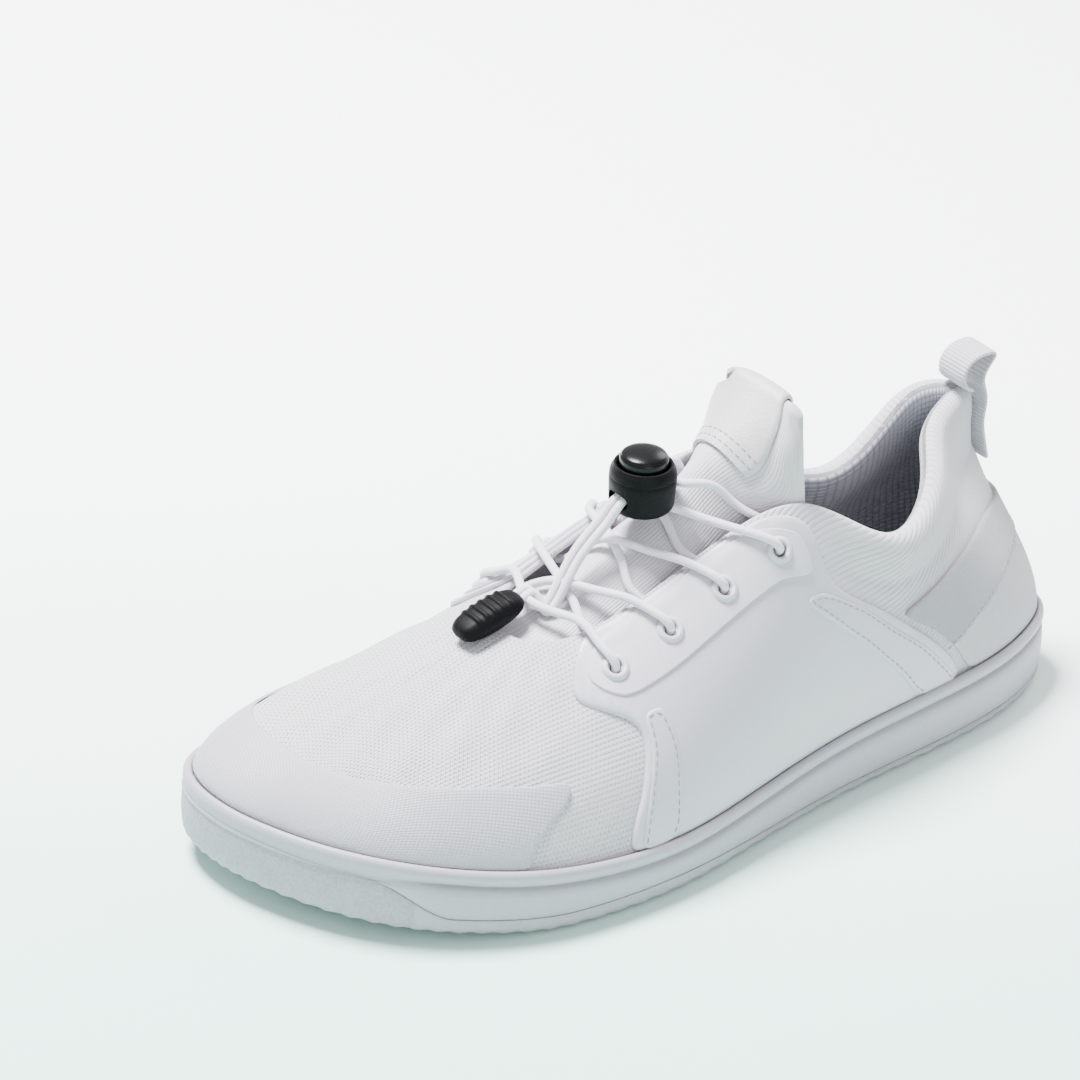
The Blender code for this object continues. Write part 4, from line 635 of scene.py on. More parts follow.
@dataclass(frozen=True)
class Finish:
    """One finish: its colours, structure and gloss, with painted shade in the structure's hollows."""

    name: str
    color: tuple
    # colour in the structure's low places: painted shade in its hollows
    low: tuple
    roughness: float
    pattern: Pattern
    pitch: float = 1.5 * MM
    depth: float = 0.25 * MM
    angle: float = 0.0
    sheen: float = 0.0
    coat: float = 0.0
    gloss: float = 0.45
    cloud: float = 0.04
    # strength of the darker blotches within 15 mm of the ground
    bottom_darkening: float = 0.0

    def height(self, kit: NodeKit) -> Value:
        """Height of the structure, from 0 to 1.

        Args:
            kit: Node tree that the structure is built in.

        Returns:
            The wrapped height.
        """
        pattern = self.pattern
        if pattern in (Pattern.GRAIN, Pattern.PEBBLE):
            lumps = kit.cells(self.pitch).eased(0.05, 0.75)
            return 1 - lumps * 0.8 + kit.noise(self.pitch * 2) * 0.2
        if pattern is Pattern.SUEDE:
            return kit.noise(self.pitch, 6.0, 0.75)
        if pattern is Pattern.FELT:
            return kit.noise(self.pitch, 4.0, 0.65) * 0.7 + kit.noise(self.pitch * 5) * 0.3
        if pattern is Pattern.SMOOTH:
            return kit.noise(self.pitch, 2.0, 0.5)
        u, v = kit.cloth(self.angle)
        u, v = u / self.pitch, v / self.pitch
        fuzz = kit.noise(self.pitch * 0.22, 2.0, 0.6) * 0.22
        if pattern is Pattern.KNIT:
            holes = (u.wave() * (v * 0.9).wave(0.5) * 0.5 + 0.5).eased(0.66, 1.0)
            legs = (v * 0.9 + u.wave().size() * 0.42).wave(0.5).size()
            return (1 - holes) * 0.45 + legs ** 0.7 * 0.45 + fuzz
        if pattern is Pattern.RIB:
            rib = u.wave(0.5).size()
            cross = (v * 2.4).wave(0.5).size()
            return rib ** 0.6 * 0.75 + cross * rib * 0.2 + fuzz
        if pattern is Pattern.PIQUE:
            lumps = (u.wave(0.5) * v.wave(0.5)).size()
            return lumps ** 0.7 + fuzz
        if pattern is Pattern.WEAVE:
            warp = (u + v).wave(0.5).size()
            weft = (u - v).wave(0.5).size()
            return warp * weft
        if pattern is Pattern.RIBBON:
            return u.wave(0.5).size() ** 0.6 * 0.8 + (v * 2).wave(0.5).size() * 0.2
        braid = ((u + v).wave(0.5) * (u - v).wave(0.5)).size()
        return braid ** 0.5 + fuzz * 0.4

    def make(self) -> bpy.types.Material:
        """Build the material."""
        kit = NodeKit(self.name)
        height = self.height(kit)
        # Painted shade: the colour falls to the low colour in the hollows of the structure.
        base = kit.mix(height.eased(0.12, 0.72), (*self.low, 1), (*self.color, 1))
        soft = kit.noise(28 * MM, 3.0, 0.5).eased(0.3, 0.75)
        dull = tuple(c * (1 - self.cloud * 2.2) for c in self.color)
        base = kit.mix(soft * (self.cloud * 6), base, (*dull, 1))
        # Darker in blotches towards the bottom, within 15 mm of the ground.
        if self.bottom_darkening:
            place = kit.node("ShaderNodeTexCoord")
            split = kit.node("ShaderNodeSeparateXYZ", None, {0: Value(kit, place.outputs["Object"])})
            low = 1 - Value(kit, split.outputs[2]).eased(1 * MM, 15 * MM)
            blotches = kit.noise(3 * MM, 5.0, 0.7).eased(0.50, 0.80)
            darker_tone = tuple(c * 0.80 for c in self.color)
            base = kit.mix(low * blotches * self.bottom_darkening, base, (*darker_tone, 1))
        kit.feed(kit.shader.inputs["Base Color"], base)
        rough = (kit.noise(9 * MM, 4.0, 0.6) - 0.5) * 0.16 + self.roughness
        kit.feed(kit.shader.inputs["Roughness"], rough)
        kit.shader.inputs["Sheen Weight"].default_value = self.sheen
        kit.shader.inputs["Sheen Roughness"].default_value = 0.45
        kit.shader.inputs["Coat Weight"].default_value = self.coat
        kit.shader.inputs["Specular IOR Level"].default_value = self.gloss
        kit.relief(height, self.depth)
        return kit.material


class Wardrobe:
    """All finishes of the shoe, each built once."""

    FINISHES = {
        "knit": Finish("knit_upper", (0.511, 0.485, 0.525), (0.310, 0.306, 0.344), 0.85, Pattern.KNIT,
                       pitch=1.36 * MM, depth=0.46 * MM, sheen=0.25),
        "collar": Finish("collar_rib", (0.480, 0.457, 0.496), (0.356, 0.349, 0.395), 0.85, Pattern.RIB,
                         pitch=1.25 * MM, depth=0.26 * MM, angle=math.radians(38), sheen=0.3),
        "lining": Finish("lining_pique", (0.332, 0.338, 0.380), (0.191, 0.198, 0.237), 0.9, Pattern.PIQUE,
                         pitch=1.9 * MM, depth=0.32 * MM, sheen=0.2),
        "moulded": Finish("moulded_film", (0.456, 0.434, 0.486), (0.428, 0.408, 0.460), 0.42, Pattern.SMOOTH,
                          pitch=0.9 * MM, depth=0.05 * MM, coat=0.08),
        # The eyestay plate is the panel's moulded film painted a little lighter: painted highlight on the
        # raised plate.
        "plate": Finish("moulded_plate", (0.499, 0.474, 0.521), (0.472, 0.449, 0.496), 0.48, Pattern.SMOOTH,
                        pitch=0.7 * MM, depth=0.06 * MM),
        "toe": Finish("toe_film_cloth", (0.374, 0.358, 0.402), (0.330, 0.317, 0.361), 0.5, Pattern.WEAVE,
                      pitch=1.5 * MM, depth=0.10 * MM, angle=math.radians(20)),
        "suede": Finish("counter_suede_cloth", (0.306, 0.294, 0.323), (0.243, 0.235, 0.264), 0.95,
                        Pattern.SUEDE, pitch=0.8 * MM, depth=0.40 * MM, sheen=0.35, cloud=0.09),
        "felt": Finish("heel_felt", (0.401, 0.384, 0.417), (0.337, 0.323, 0.353), 0.8, Pattern.FELT,
                       pitch=0.9 * MM, depth=0.26 * MM, cloud=0.06),
        "tongue": Finish("tongue_rib", (0.517, 0.491, 0.529), (0.374, 0.366, 0.403), 0.88, Pattern.RIB,
                         pitch=0.95 * MM, depth=0.17 * MM, angle=math.radians(90), sheen=0.3),
        "leather": Finish("tab_leather_face", (0.480, 0.449, 0.475), (0.418, 0.391, 0.420), 0.45,
                          Pattern.GRAIN, pitch=0.7 * MM, depth=0.05 * MM, coat=0.05, cloud=0.05),
        "ribbon": Finish("loop_ribbon", (0.445, 0.424, 0.462), (0.285, 0.275, 0.311), 0.8, Pattern.RIBBON,
                         pitch=1.1 * MM, depth=0.3 * MM, sheen=0.3),
        "lace": Finish("bungee_braid", (0.702, 0.665, 0.718), (0.429, 0.410, 0.460), 0.7, Pattern.BRAID,
                       pitch=0.8 * MM, depth=0.10 * MM, sheen=0.3, cloud=0.02),
        # The thread's grey is partly its own colour and partly painted shade of the stitch holes.
        "thread": Finish("sewing_thread", (0.243, 0.235, 0.264), (0.198, 0.194, 0.221), 0.6, Pattern.SMOOTH,
                         pitch=0.4 * MM, depth=0.05 * MM),
        "sole": Finish("side_rubber", (0.329, 0.315, 0.359), (0.298, 0.286, 0.329), 0.5, Pattern.SMOOTH,
                       pitch=0.8 * MM, depth=0.05 * MM, bottom_darkening=0.5),
        "bumper": Finish("toe_bumper_rubber", (0.306, 0.293, 0.333), (0.243, 0.235, 0.274), 0.62,
                         Pattern.PEBBLE, pitch=0.9 * MM, depth=0.14 * MM, bottom_darkening=0.5),
        "tread": Finish("tread_rubber", (0.339, 0.325, 0.360), (0.280, 0.270, 0.304), 0.6, Pattern.SMOOTH,
                        pitch=0.7 * MM, depth=0.08 * MM, bottom_darkening=0.6),
        "insole": Finish("insole_mesh", (0.152, 0.147, 0.160), (0.058, 0.056, 0.066), 0.9, Pattern.PIQUE,
                         pitch=2.4 * MM, depth=0.4 * MM),
        "black": Finish("black_moulding", (0.0018, 0.0018, 0.002), (0.0012, 0.0012, 0.0014), 0.26,
                        Pattern.SMOOTH, pitch=0.5 * MM, depth=0.02 * MM, gloss=0.16, cloud=0.0),
        "black_matt": Finish("black_barrel", (0.0022, 0.0022, 0.0026), (0.0012, 0.0012, 0.0015), 0.50,
                             Pattern.GRAIN, pitch=0.35 * MM, depth=0.03 * MM, gloss=0.08, cloud=0.0),
    }

    def __init__(self) -> None:
        """Start with no material built."""
        self.made = {}

    def __getitem__(self, name: str) -> bpy.types.Material:
        """Material of a finish."""
        if name not in self.made:
            self.made[name] = self.FINISHES[name].make()
        return self.made[name]


# Meshes

def put(name: str, data: bpy.types.ID) -> bpy.types.Object:
    """New object of a mesh, lamp or camera, placed in the scene."""
    obj = bpy.data.objects.new(name, data)
    bpy.context.collection.objects.link(obj)
    return obj


def corners_of(mesh: bpy.types.Mesh) -> np.ndarray:
    """Vertex number of each face corner."""
    corners = np.empty(len(mesh.loops), np.int32)
    mesh.loops.foreach_get("vertex_index", corners)
    return corners


def make_piece(name: str, points: np.ndarray, faces: Sequence, finishes: Sequence,
               flat: Optional[np.ndarray] = None, zones: Optional[Sequence] = None) -> bpy.types.Object:
    """Make a smooth-shaded closed piece from points and faces, turned outwards.

    Args:
        name: Name of the piece.
        points: One row for each vertex.
        faces: Vertex numbers of each face.
        finishes: Materials, the first for zone 0.
        flat: Cloth coordinates of each vertex in metres, 0 where left out.
        zones: Material number of each face, 0 where left out.

    Returns:
        The new object.
    """
    mesh = bpy.data.meshes.new(name)
    mesh.from_pydata([tuple(p) for p in points], [], [tuple(f) for f in faces])
    for finish in finishes:
        mesh.materials.append(finish)
    if zones is not None:
        mesh.polygons.foreach_set("material_index", np.asarray(zones, np.int32))
    flat = np.zeros((len(points), 2)) if flat is None else flat
    cloth = mesh.uv_layers.new(name="Cloth")
    cloth.data.foreach_set("uv", flat[corners_of(mesh)].astype(np.float32).ravel())
    bm = bmesh.new()
    bm.from_mesh(mesh)
    bmesh.ops.recalc_face_normals(bm, faces=bm.faces)
    if bm.calc_volume(signed=True) < 0:
        bmesh.ops.reverse_faces(bm, faces=bm.faces)
    bm.to_mesh(mesh)
    bm.free()
    mesh.shade_smooth()
    mesh.set_sharp_from_angle(angle=math.radians(50))
    return put(name, mesh)


def as_plain(name: str, obj: bpy.types.Object, helper: bpy.types.Object) -> bpy.types.Object:
    """Plain mesh object from an object with a modifier.

    Args:
        name: Name of the result.
        obj: Object with its modifier, removed afterwards.
        helper: Object that the modifier reads, removed too.

    Returns:
        The new object.
    """
    graph = bpy.context.evaluated_depsgraph_get()
    graph.update()
    mesh = bpy.data.meshes.new_from_object(obj.evaluated_get(graph))
    bpy.data.objects.remove(obj)
    bpy.data.objects.remove(helper)
    mesh.name = name
    return put(name, mesh)


def cut_out(obj: bpy.types.Object, cutter: bpy.types.Object) -> bpy.types.Object:
    """Cut one closed shape out of another.

    Args:
        obj: Closed piece to cut.
        cutter: Closed shape that is taken out and removed.

    Returns:
        The cut piece as a plain mesh object.
    """
    modifier = obj.modifiers.new("holes", "BOOLEAN")
    modifier.operation = "DIFFERENCE"
    modifier.solver = "EXACT"
    modifier.object = cutter
    return as_plain(obj.name, obj, cutter)


def strip_faces(rows: int, columns: int, closed_rows: bool = False, closed_columns: bool = False) -> list:
    """Quads of a grid of points, row by row."""
    faces = []
    for r in range(rows if closed_rows else rows - 1):
        for c in range(columns if closed_columns else columns - 1):
            a, b = r * columns, (r + 1) % rows * columns
            d = (c + 1) % columns
            faces.append((a + c, a + d, b + d, b + c))
    return faces


def rod_faces(rows: int, sides: int) -> list:
    """Faces of stacked rings with a cap at both ends."""
    ends = [tuple(range(sides)), tuple((rows - 1) * sides + i for i in reversed(range(sides)))]
    return strip_faces(rows, sides, False, True) + ends


def around(points: np.ndarray) -> np.ndarray:
    """Cloth coordinates of points on the upper: along the shoe and round it."""
    points = np.asarray(points)
    angle = np.arctan2(points[:, 1], points[:, 2] - 15 * MM)
    return np.column_stack([points[:, 0], angle * CLOTH_RADIUS])


def tube(name: str, route: np.ndarray, diameter: float, finish: bpy.types.Material,
         sides: int = 16) -> bpy.types.Object:
    """Round cord along a route, with rounded ends and cloth laid along it."""
    along = unit(np.gradient(route, axis=0))
    side = np.cross(along[0], (0.0, 0.0, 1.0))
    radius = diameter / 2
    reach = run(route)
    end = len(route) - 1
    rings = [(0, -0.9 * radius, 0.45), (0, -0.6 * radius, 0.8)]
    rings += [(k, 0.0, 1.0) for k in range(len(route))]
    rings += [(end, 0.6 * radius, 0.8), (end, 0.9 * radius, 0.45)]
    frames = []
    for ahead in along:
        side = unit(side - ahead * np.dot(side, ahead))
        frames.append((side, np.cross(ahead, side)))
    points = []
    for k, push, narrow in rings:
        across, over = frames[k]
        for angle in circle(sides):
            spoke = across * math.cos(angle) + over * math.sin(angle)
            points.append(route[k] + along[k] * push + spoke * radius * narrow)
    obj = make_piece(name, np.array(points), rod_faces(len(rings), sides), [finish])
    mesh = obj.data
    girth = round(math.pi * diameter / BRAID_PITCH) * BRAID_PITCH
    layer = mesh.uv_layers["Cloth"]
    for face in mesh.polygons:
        spots = [mesh.loops[i].vertex_index for i in face.loop_indices]
        turns = [v % sides for v in spots]
        wraps = max(turns) - min(turns) > sides / 2
        for i, v, turn in zip(face.loop_indices, spots, turns):
            k, push, _ = rings[v // sides]
            turn = turn + sides if wraps and turn < sides / 2 else turn
            layer.data[i].uv = (reach[k] + push, turn / sides * girth)
    return obj


# Repeats on a path, made with geometry nodes

class Repeats:
    """Copies of one small piece along lines or on points, as a plain mesh."""

    def __init__(self, name: str, number: str, points: Sequence, edges: Sequence) -> None:
        """Start a node tree on points and lines.

        Args:
            name: Name of the piece.
            number: What the tree's one number says.
            points: Points of the path or places of the copies.
            edges: Pairs of point numbers.
        """
        self.name = name
        mesh = bpy.data.meshes.new(name + "_path")
        mesh.from_pydata([tuple(p) for p in points], edges, [])
        self.path = put(name + "_path", mesh)
        self.tree = bpy.data.node_groups.new(name, "GeometryNodeTree")
        self.link = self.tree.links.new
        sockets = self.tree.interface
        sockets.new_socket(name="Geometry", in_out="OUTPUT", socket_type="NodeSocketGeometry")
        self.keys = [sockets.new_socket(name=label, in_out="INPUT", socket_type=kind).identifier
                     for label, kind in (("Geometry", "NodeSocketGeometry"), (number, "NodeSocketFloat"),
                                         ("Bead", "NodeSocketObject"), ("Finish", "NodeSocketMaterial"))]
        self.start = self.node("NodeGroupInput")
        self.copies = self.node("GeometryNodeInstanceOnPoints")

    def node(self, kind: str) -> bpy.types.Node:
        """New node of the tree."""
        return self.tree.nodes.new(kind)

    @classmethod
    def along(cls, name: str, lines: Sequence[np.ndarray], bead: bpy.types.Object, pitch: float,
              finish: bpy.types.Material) -> bpy.types.Object:
        """Lay a bead end to end along lines.

        Args:
            name: Name of the piece.
            lines: Routes, each an array of points.
            bead: Small object, long along its own Z.
            pitch: Distance between two beads, in metres.
            finish: Material of the copies.

        Returns:
            One plain mesh object with all copies.
        """
        points, edges = [], []
        for line in lines:
            edges += [(len(points) + i, len(points) + i + 1) for i in range(len(line) - 1)]
            points += list(line)
        work = cls(name, "Pitch", points, edges)
        curve = work.node("GeometryNodeMeshToCurve")
        spots = work.node("GeometryNodeCurveToPoints")
        spots.mode = "LENGTH"
        work.link(work.start.outputs["Geometry"], curve.inputs[0])
        work.link(curve.outputs[0], spots.inputs["Curve"])
        work.link(work.start.outputs["Pitch"], spots.inputs["Length"])
        work.link(spots.outputs["Points"], work.copies.inputs["Points"])
        work.link(spots.outputs["Rotation"], work.copies.inputs["Rotation"])
        return work.applied(pitch, bead, finish)

    @classmethod
    def on_points(cls, name: str, points: np.ndarray, angle: float, bead: bpy.types.Object,
                  finish: bpy.types.Material) -> bpy.types.Object:
        """Put a copy of a bead on each point, all turned by one angle about Z."""
        work = cls(name, "Turn", points, [])
        turn = work.node("ShaderNodeCombineXYZ")
        work.link(work.start.outputs["Geometry"], work.copies.inputs["Points"])
        work.link(work.start.outputs["Turn"], turn.inputs[2])
        work.link(turn.outputs[0], work.copies.inputs["Rotation"])
        return work.applied(angle, bead, finish)

    def applied(self, number: float, bead: bpy.types.Object, finish: bpy.types.Material) -> bpy.types.Object:
        """Finish the tree and turn its result into a plain mesh object."""
        held, real = self.node("GeometryNodeObjectInfo"), self.node("GeometryNodeRealizeInstances")
        paint, end = self.node("GeometryNodeSetMaterial"), self.node("NodeGroupOutput")
        self.link(self.start.outputs["Bead"], held.inputs["Object"])
        self.link(held.outputs["Geometry"], self.copies.inputs["Instance"])
        self.link(self.copies.outputs[0], real.inputs[0])
        self.link(real.outputs[0], paint.inputs["Geometry"])
        self.link(self.start.outputs["Finish"], paint.inputs["Material"])
        self.link(paint.outputs[0], end.inputs[0])
        modifier = self.path.modifiers.new("repeats", "NODES")
        modifier.node_group = self.tree
        for key, value in zip(self.keys[1:], (number, bead, finish)):
            modifier[key] = value
        piece = as_plain(self.name, self.path, bead)
        piece.data.shade_smooth()
        piece.data.set_sharp_from_angle(angle=CREASE)
        return piece


def stitch_bead(length: float, width: float) -> bpy.types.Object:
    """One thread stitch, rounded at both ends and long along Z."""
    profile = [(0.35, -0.5), (0.85, -0.36), (1.0, -0.1), (1.0, 0.1), (0.85, 0.36), (0.35, 0.5)]
    sides = 6
    points = [(math.cos(angle) * radius * width / 2, math.sin(angle) * radius * width / 2, z * length)
              for radius, z in profile for angle in circle(sides)]
    mesh = bpy.data.meshes.new("stitch")
    mesh.from_pydata(points, [], rod_faces(len(profile), sides))
    return put("stitch", mesh)


# Patches on the upper

class Flat:
    """Loops and points on the wall's flat chart."""

    STEP = np.array([24.0, 70.0])   # millimetres for one station and for the whole wall

    @classmethod
    def loop(cls, edges: Sequence, last: Last, rounds: int = 3, pitch: float = 1.5) -> np.ndarray:
        """Outline on the chart, rounded at its corners and evenly divided.

        Args:
            edges: Table of the outline.
            last: Shape of the shoe.
            rounds: How many times the corners are cut.
            pitch: Step along the result, in chart millimetres.

        Returns:
            Points of the closed loop.
        """
        points = []
        for edge in edges:
            share = edge.share if edge.share else bead_share(last, edge.station)
            points.append((edge.station * cls.STEP[0], share * cls.STEP[1]))
        points = np.array(points)
        for _ in range(rounds):
            ahead = np.roll(points, -1, 0)
            points = np.stack([points * 0.8 + ahead * 0.2, points * 0.2 + ahead * 0.8], 1).reshape(-1, 2)
        closed = np.vstack([points, points[:1]])
        reach = run(closed)
        where = np.linspace(0, reach[-1], max(8, int(reach[-1] / pitch)), endpoint=False)
        return np.column_stack([np.interp(where, reach, closed[:, k]) for k in (0, 1)])

    @staticmethod
    def inside(points: np.ndarray, loop: np.ndarray) -> np.ndarray:
        """Whether points lie within a closed loop."""
        x, y = points[:, 0][:, None], points[:, 1][:, None]
        ax, ay = loop[:, 0][None], loop[:, 1][None]
        bx, by = np.roll(loop[:, 0], -1)[None], np.roll(loop[:, 1], -1)[None]
        crosses = (ay > y) != (by > y)
        safe = np.where(np.abs(by - ay) < 1e-12, 1e-12, by - ay)
        return np.count_nonzero(crosses & (x < ax + (y - ay) / safe * (bx - ax)), axis=1) % 2 == 1

    @staticmethod
    def distance(points: np.ndarray, loop: np.ndarray) -> np.ndarray:
        """Shortest distance from each point to a closed loop."""
        ab = (np.roll(loop, -1, 0) - loop)[None]
        best = np.full(len(points), np.inf)
        batch = 2000
        for start in range(0, len(points), batch):
            p = points[start:start + batch][:, None]
            t = np.clip(np.sum((p - loop) * ab, -1) / np.maximum(np.sum(ab * ab, -1), 1e-12), 0, 1)
            gap = np.linalg.norm(loop[None] + ab * t[..., None] - p, axis=-1)
            best[start:start + batch] = gap.min(1)
        return best

    @staticmethod
    def inset(loop: np.ndarray, amount: float) -> np.ndarray:
        """Loop moved inwards along its normals."""
        along = unit(np.roll(loop, -1, 0) - np.roll(loop, 1, 0))
        inward = np.column_stack([-along[:, 1], along[:, 0]])
        area = np.sum(loop[:, 0] * np.roll(loop[:, 1], -1) - np.roll(loop[:, 0], -1) * loop[:, 1])
        return loop + inward * (amount if area > 0 else -amount)


def bead_share(last: Last, station: float) -> float:
    """Share up the wall at the top of the bead, a little below its crest."""
    low, high = 0.0, 0.4
    edge = last.outline(np.array([station]), 0.0)[1][0]
    for _ in range(20):
        middle = (low + high) / 2
        if last.wall_point(np.array([station]), np.array([middle]))[0, 2] < edge - 0.6 * MM:
            low = middle
        else:
            high = middle
    return high


@dataclass
class Patch:
    """Overlay on the upper, bounded by a loop on the wall's chart.

    Lengths on the chart are in its millimetres, the others in metres.
    """

    name: str
    nodes: tuple
    edges: Sequence
    thickness: float
    finishes: Sequence
    pitch: float = 1.7
    round_off: float = 0.9
    base: float = 0.1 * MM
    holes: Sequence = ()
    step: Optional[Callable] = None
    lines: Sequence = ()
    zone: Optional[Callable] = None
    rim_insets: tuple = (0.25, 0.7)
    rim_room: float = 1.3
    line_room: float = 0.7
    hole_relief: float = 0.4

    def triangles(self, outer: np.ndarray, rings: Sequence) -> tuple:
        """Divide the patch on the chart.

        Args:
            outer: Outline.
            rings: Outlines of the holes.

        Returns:
            Points on the chart and their triangles.
        """
        loops = [outer] + [Flat.inset(outer, depth) for depth in self.rim_insets] + list(rings)
        low, high = outer.min(0), outer.max(0)
        nx, ny = (np.ceil((high - low) / self.pitch)).astype(int)
        grid = np.stack(np.meshgrid(np.arange(nx), np.arange(ny), indexing="ij"), -1).reshape(-1, 2)
        sideways = np.column_stack([(grid[:, 1] % 2) * 0.4, np.zeros(len(grid))])
        grid = low + (grid + 0.5) * self.pitch + sideways
        keep = Flat.inside(grid, outer) & (Flat.distance(grid, outer) > self.rim_room)
        for line in list(rings) + list(self.lines):
            keep &= Flat.distance(grid, line) > self.line_room
        for ring in rings:
            keep &= ~Flat.inside(grid, ring)
        verts, edges = [], []
        for loop in loops + list(self.lines):
            start = len(verts)
            verts += [Vector(p) for p in loop]
            edges += [(start + i, start + (i + 1) % len(loop)) for i in range(len(loop))]
        verts += [Vector(p) for p in grid[keep]]
        result = delaunay_2d_cdt(verts, edges, [], 0, 1e-5)
        points = np.array([tuple(p) for p in result[0]])
        faces = np.array([tuple(f) for f in result[2] if len(f) == 3])
        middles = points[faces].mean(1)
        good = Flat.inside(middles, outer)
        for ring in rings:
            good &= ~Flat.inside(middles, ring)
        used, faces = np.unique(faces[good], return_inverse=True)
        return points[used], faces.reshape(-1, 3)

    def build(self, last: Last) -> bpy.types.Object:
        """Build the patch as a closed shell.

        Args:
            last: Shape of the shoe.

        Returns:
            The patch.
        """
        outer = Flat.loop(self.edges, last)
        rings = [self.hole(last, edge, EYELET_HOLE / 2) for edge in self.holes]
        points, faces = self.triangles(outer, rings)
        away = Flat.distance(points, outer)
        for ring in rings:
            away = np.minimum(away, Flat.distance(points, ring) + self.hole_relief)
        fall = 1 - np.clip(away / self.round_off, 0, 1)
        heights = self.thickness * np.sqrt(np.clip(1 - fall**2, 0.02, 1))
        if self.step:
            heights = heights + self.step(points)
        place = points / Flat.STEP
        top = last.on_wall(place[:, 0], place[:, 1], self.base + heights)
        under = last.on_wall(place[:, 0], place[:, 1], np.full(len(place), self.base))
        count = len(points)
        rim = {}
        for face in faces:
            for a, b in zip(face.tolist(), np.roll(face, -1).tolist()):
                if rim.pop((b, a), None) is None:
                    rim[(a, b)] = True
        solid = faces.tolist() + (faces[:, ::-1] + count).tolist()
        solid += [(b, a, a + count, b + count) for a, b in rim]
        everywhere = np.concatenate([top, under])
        zones = None
        if self.zone:
            marks = self.zone(points[faces].mean(1)).astype(int)
            zones = np.concatenate([marks, marks, np.zeros(len(rim), int)])
        piece = make_piece(self.name, everywhere, solid, self.finishes, around(everywhere), zones)
        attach(piece, "root")
        if self.nodes:
            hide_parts(*self.nodes)
        return piece

    @staticmethod
    def hole(last: Last, edge: Edge, radius: float, sides: int = 28) -> np.ndarray:
        """Circle on the chart, true in size at its place on the wall."""
        station, share = np.array(edge.station), np.array(edge.share)
        step = 1e-3
        at = last.wall_point
        across = np.linalg.norm(at(station + step, share) - at(station - step, share))
        up = np.linalg.norm(at(station, share + step) - at(station, share - step))
        wide, tall = radius / (across / (2 * step)), radius / (up / (2 * step))
        angle = circle(sides)
        return np.column_stack([(edge.station + wide * np.cos(angle)) * Flat.STEP[0],
                                (edge.share + tall * np.sin(angle)) * Flat.STEP[1]])


def mirrored(edges: Sequence) -> list:
    """The same outline on the other side of the shoe."""
    return [Edge(COUNT - edge.station, edge.share) for edge in reversed(edges)]


def eyelets_of(mirror: bool) -> list:
    """Eyelets of one side, from the toe back."""
    return [Edge(COUNT - e.station, e.share) for e in EYELETS] if mirror else list(EYELETS)


def turned_at_eyelets(last: Last, profile: Sequence, sides: int, shape: Sequence) -> tuple:
    """Points and faces of one turned shape at every eyelet.

    Args:
        last: Shape of the shoe.
        profile: Radius of each ring and its height over the upper.
        sides: Points of a ring.
        shape: Faces of one copy.

    Returns:
        Points and faces of all copies.
    """
    points, faces = [], []
    for edge in eyelets_of(False) + eyelets_of(True):
        station, share = np.array(edge.station), np.array(edge.share)
        centre, normal = last.wall_point(station, share), last.wall_normal(station, share)
        along = unit(np.cross(normal, (0.0, 0.0, 1.0)))
        across = np.cross(normal, along)
        faces += [tuple(len(points) + i for i in face) for face in shape]
        for radius, height in profile:
            for angle in circle(sides):
                spoke = along * math.cos(angle) + across * math.sin(angle)
                points.append(centre + normal * height + spoke * radius)
    return np.array(points), faces


# Sub-assemblies

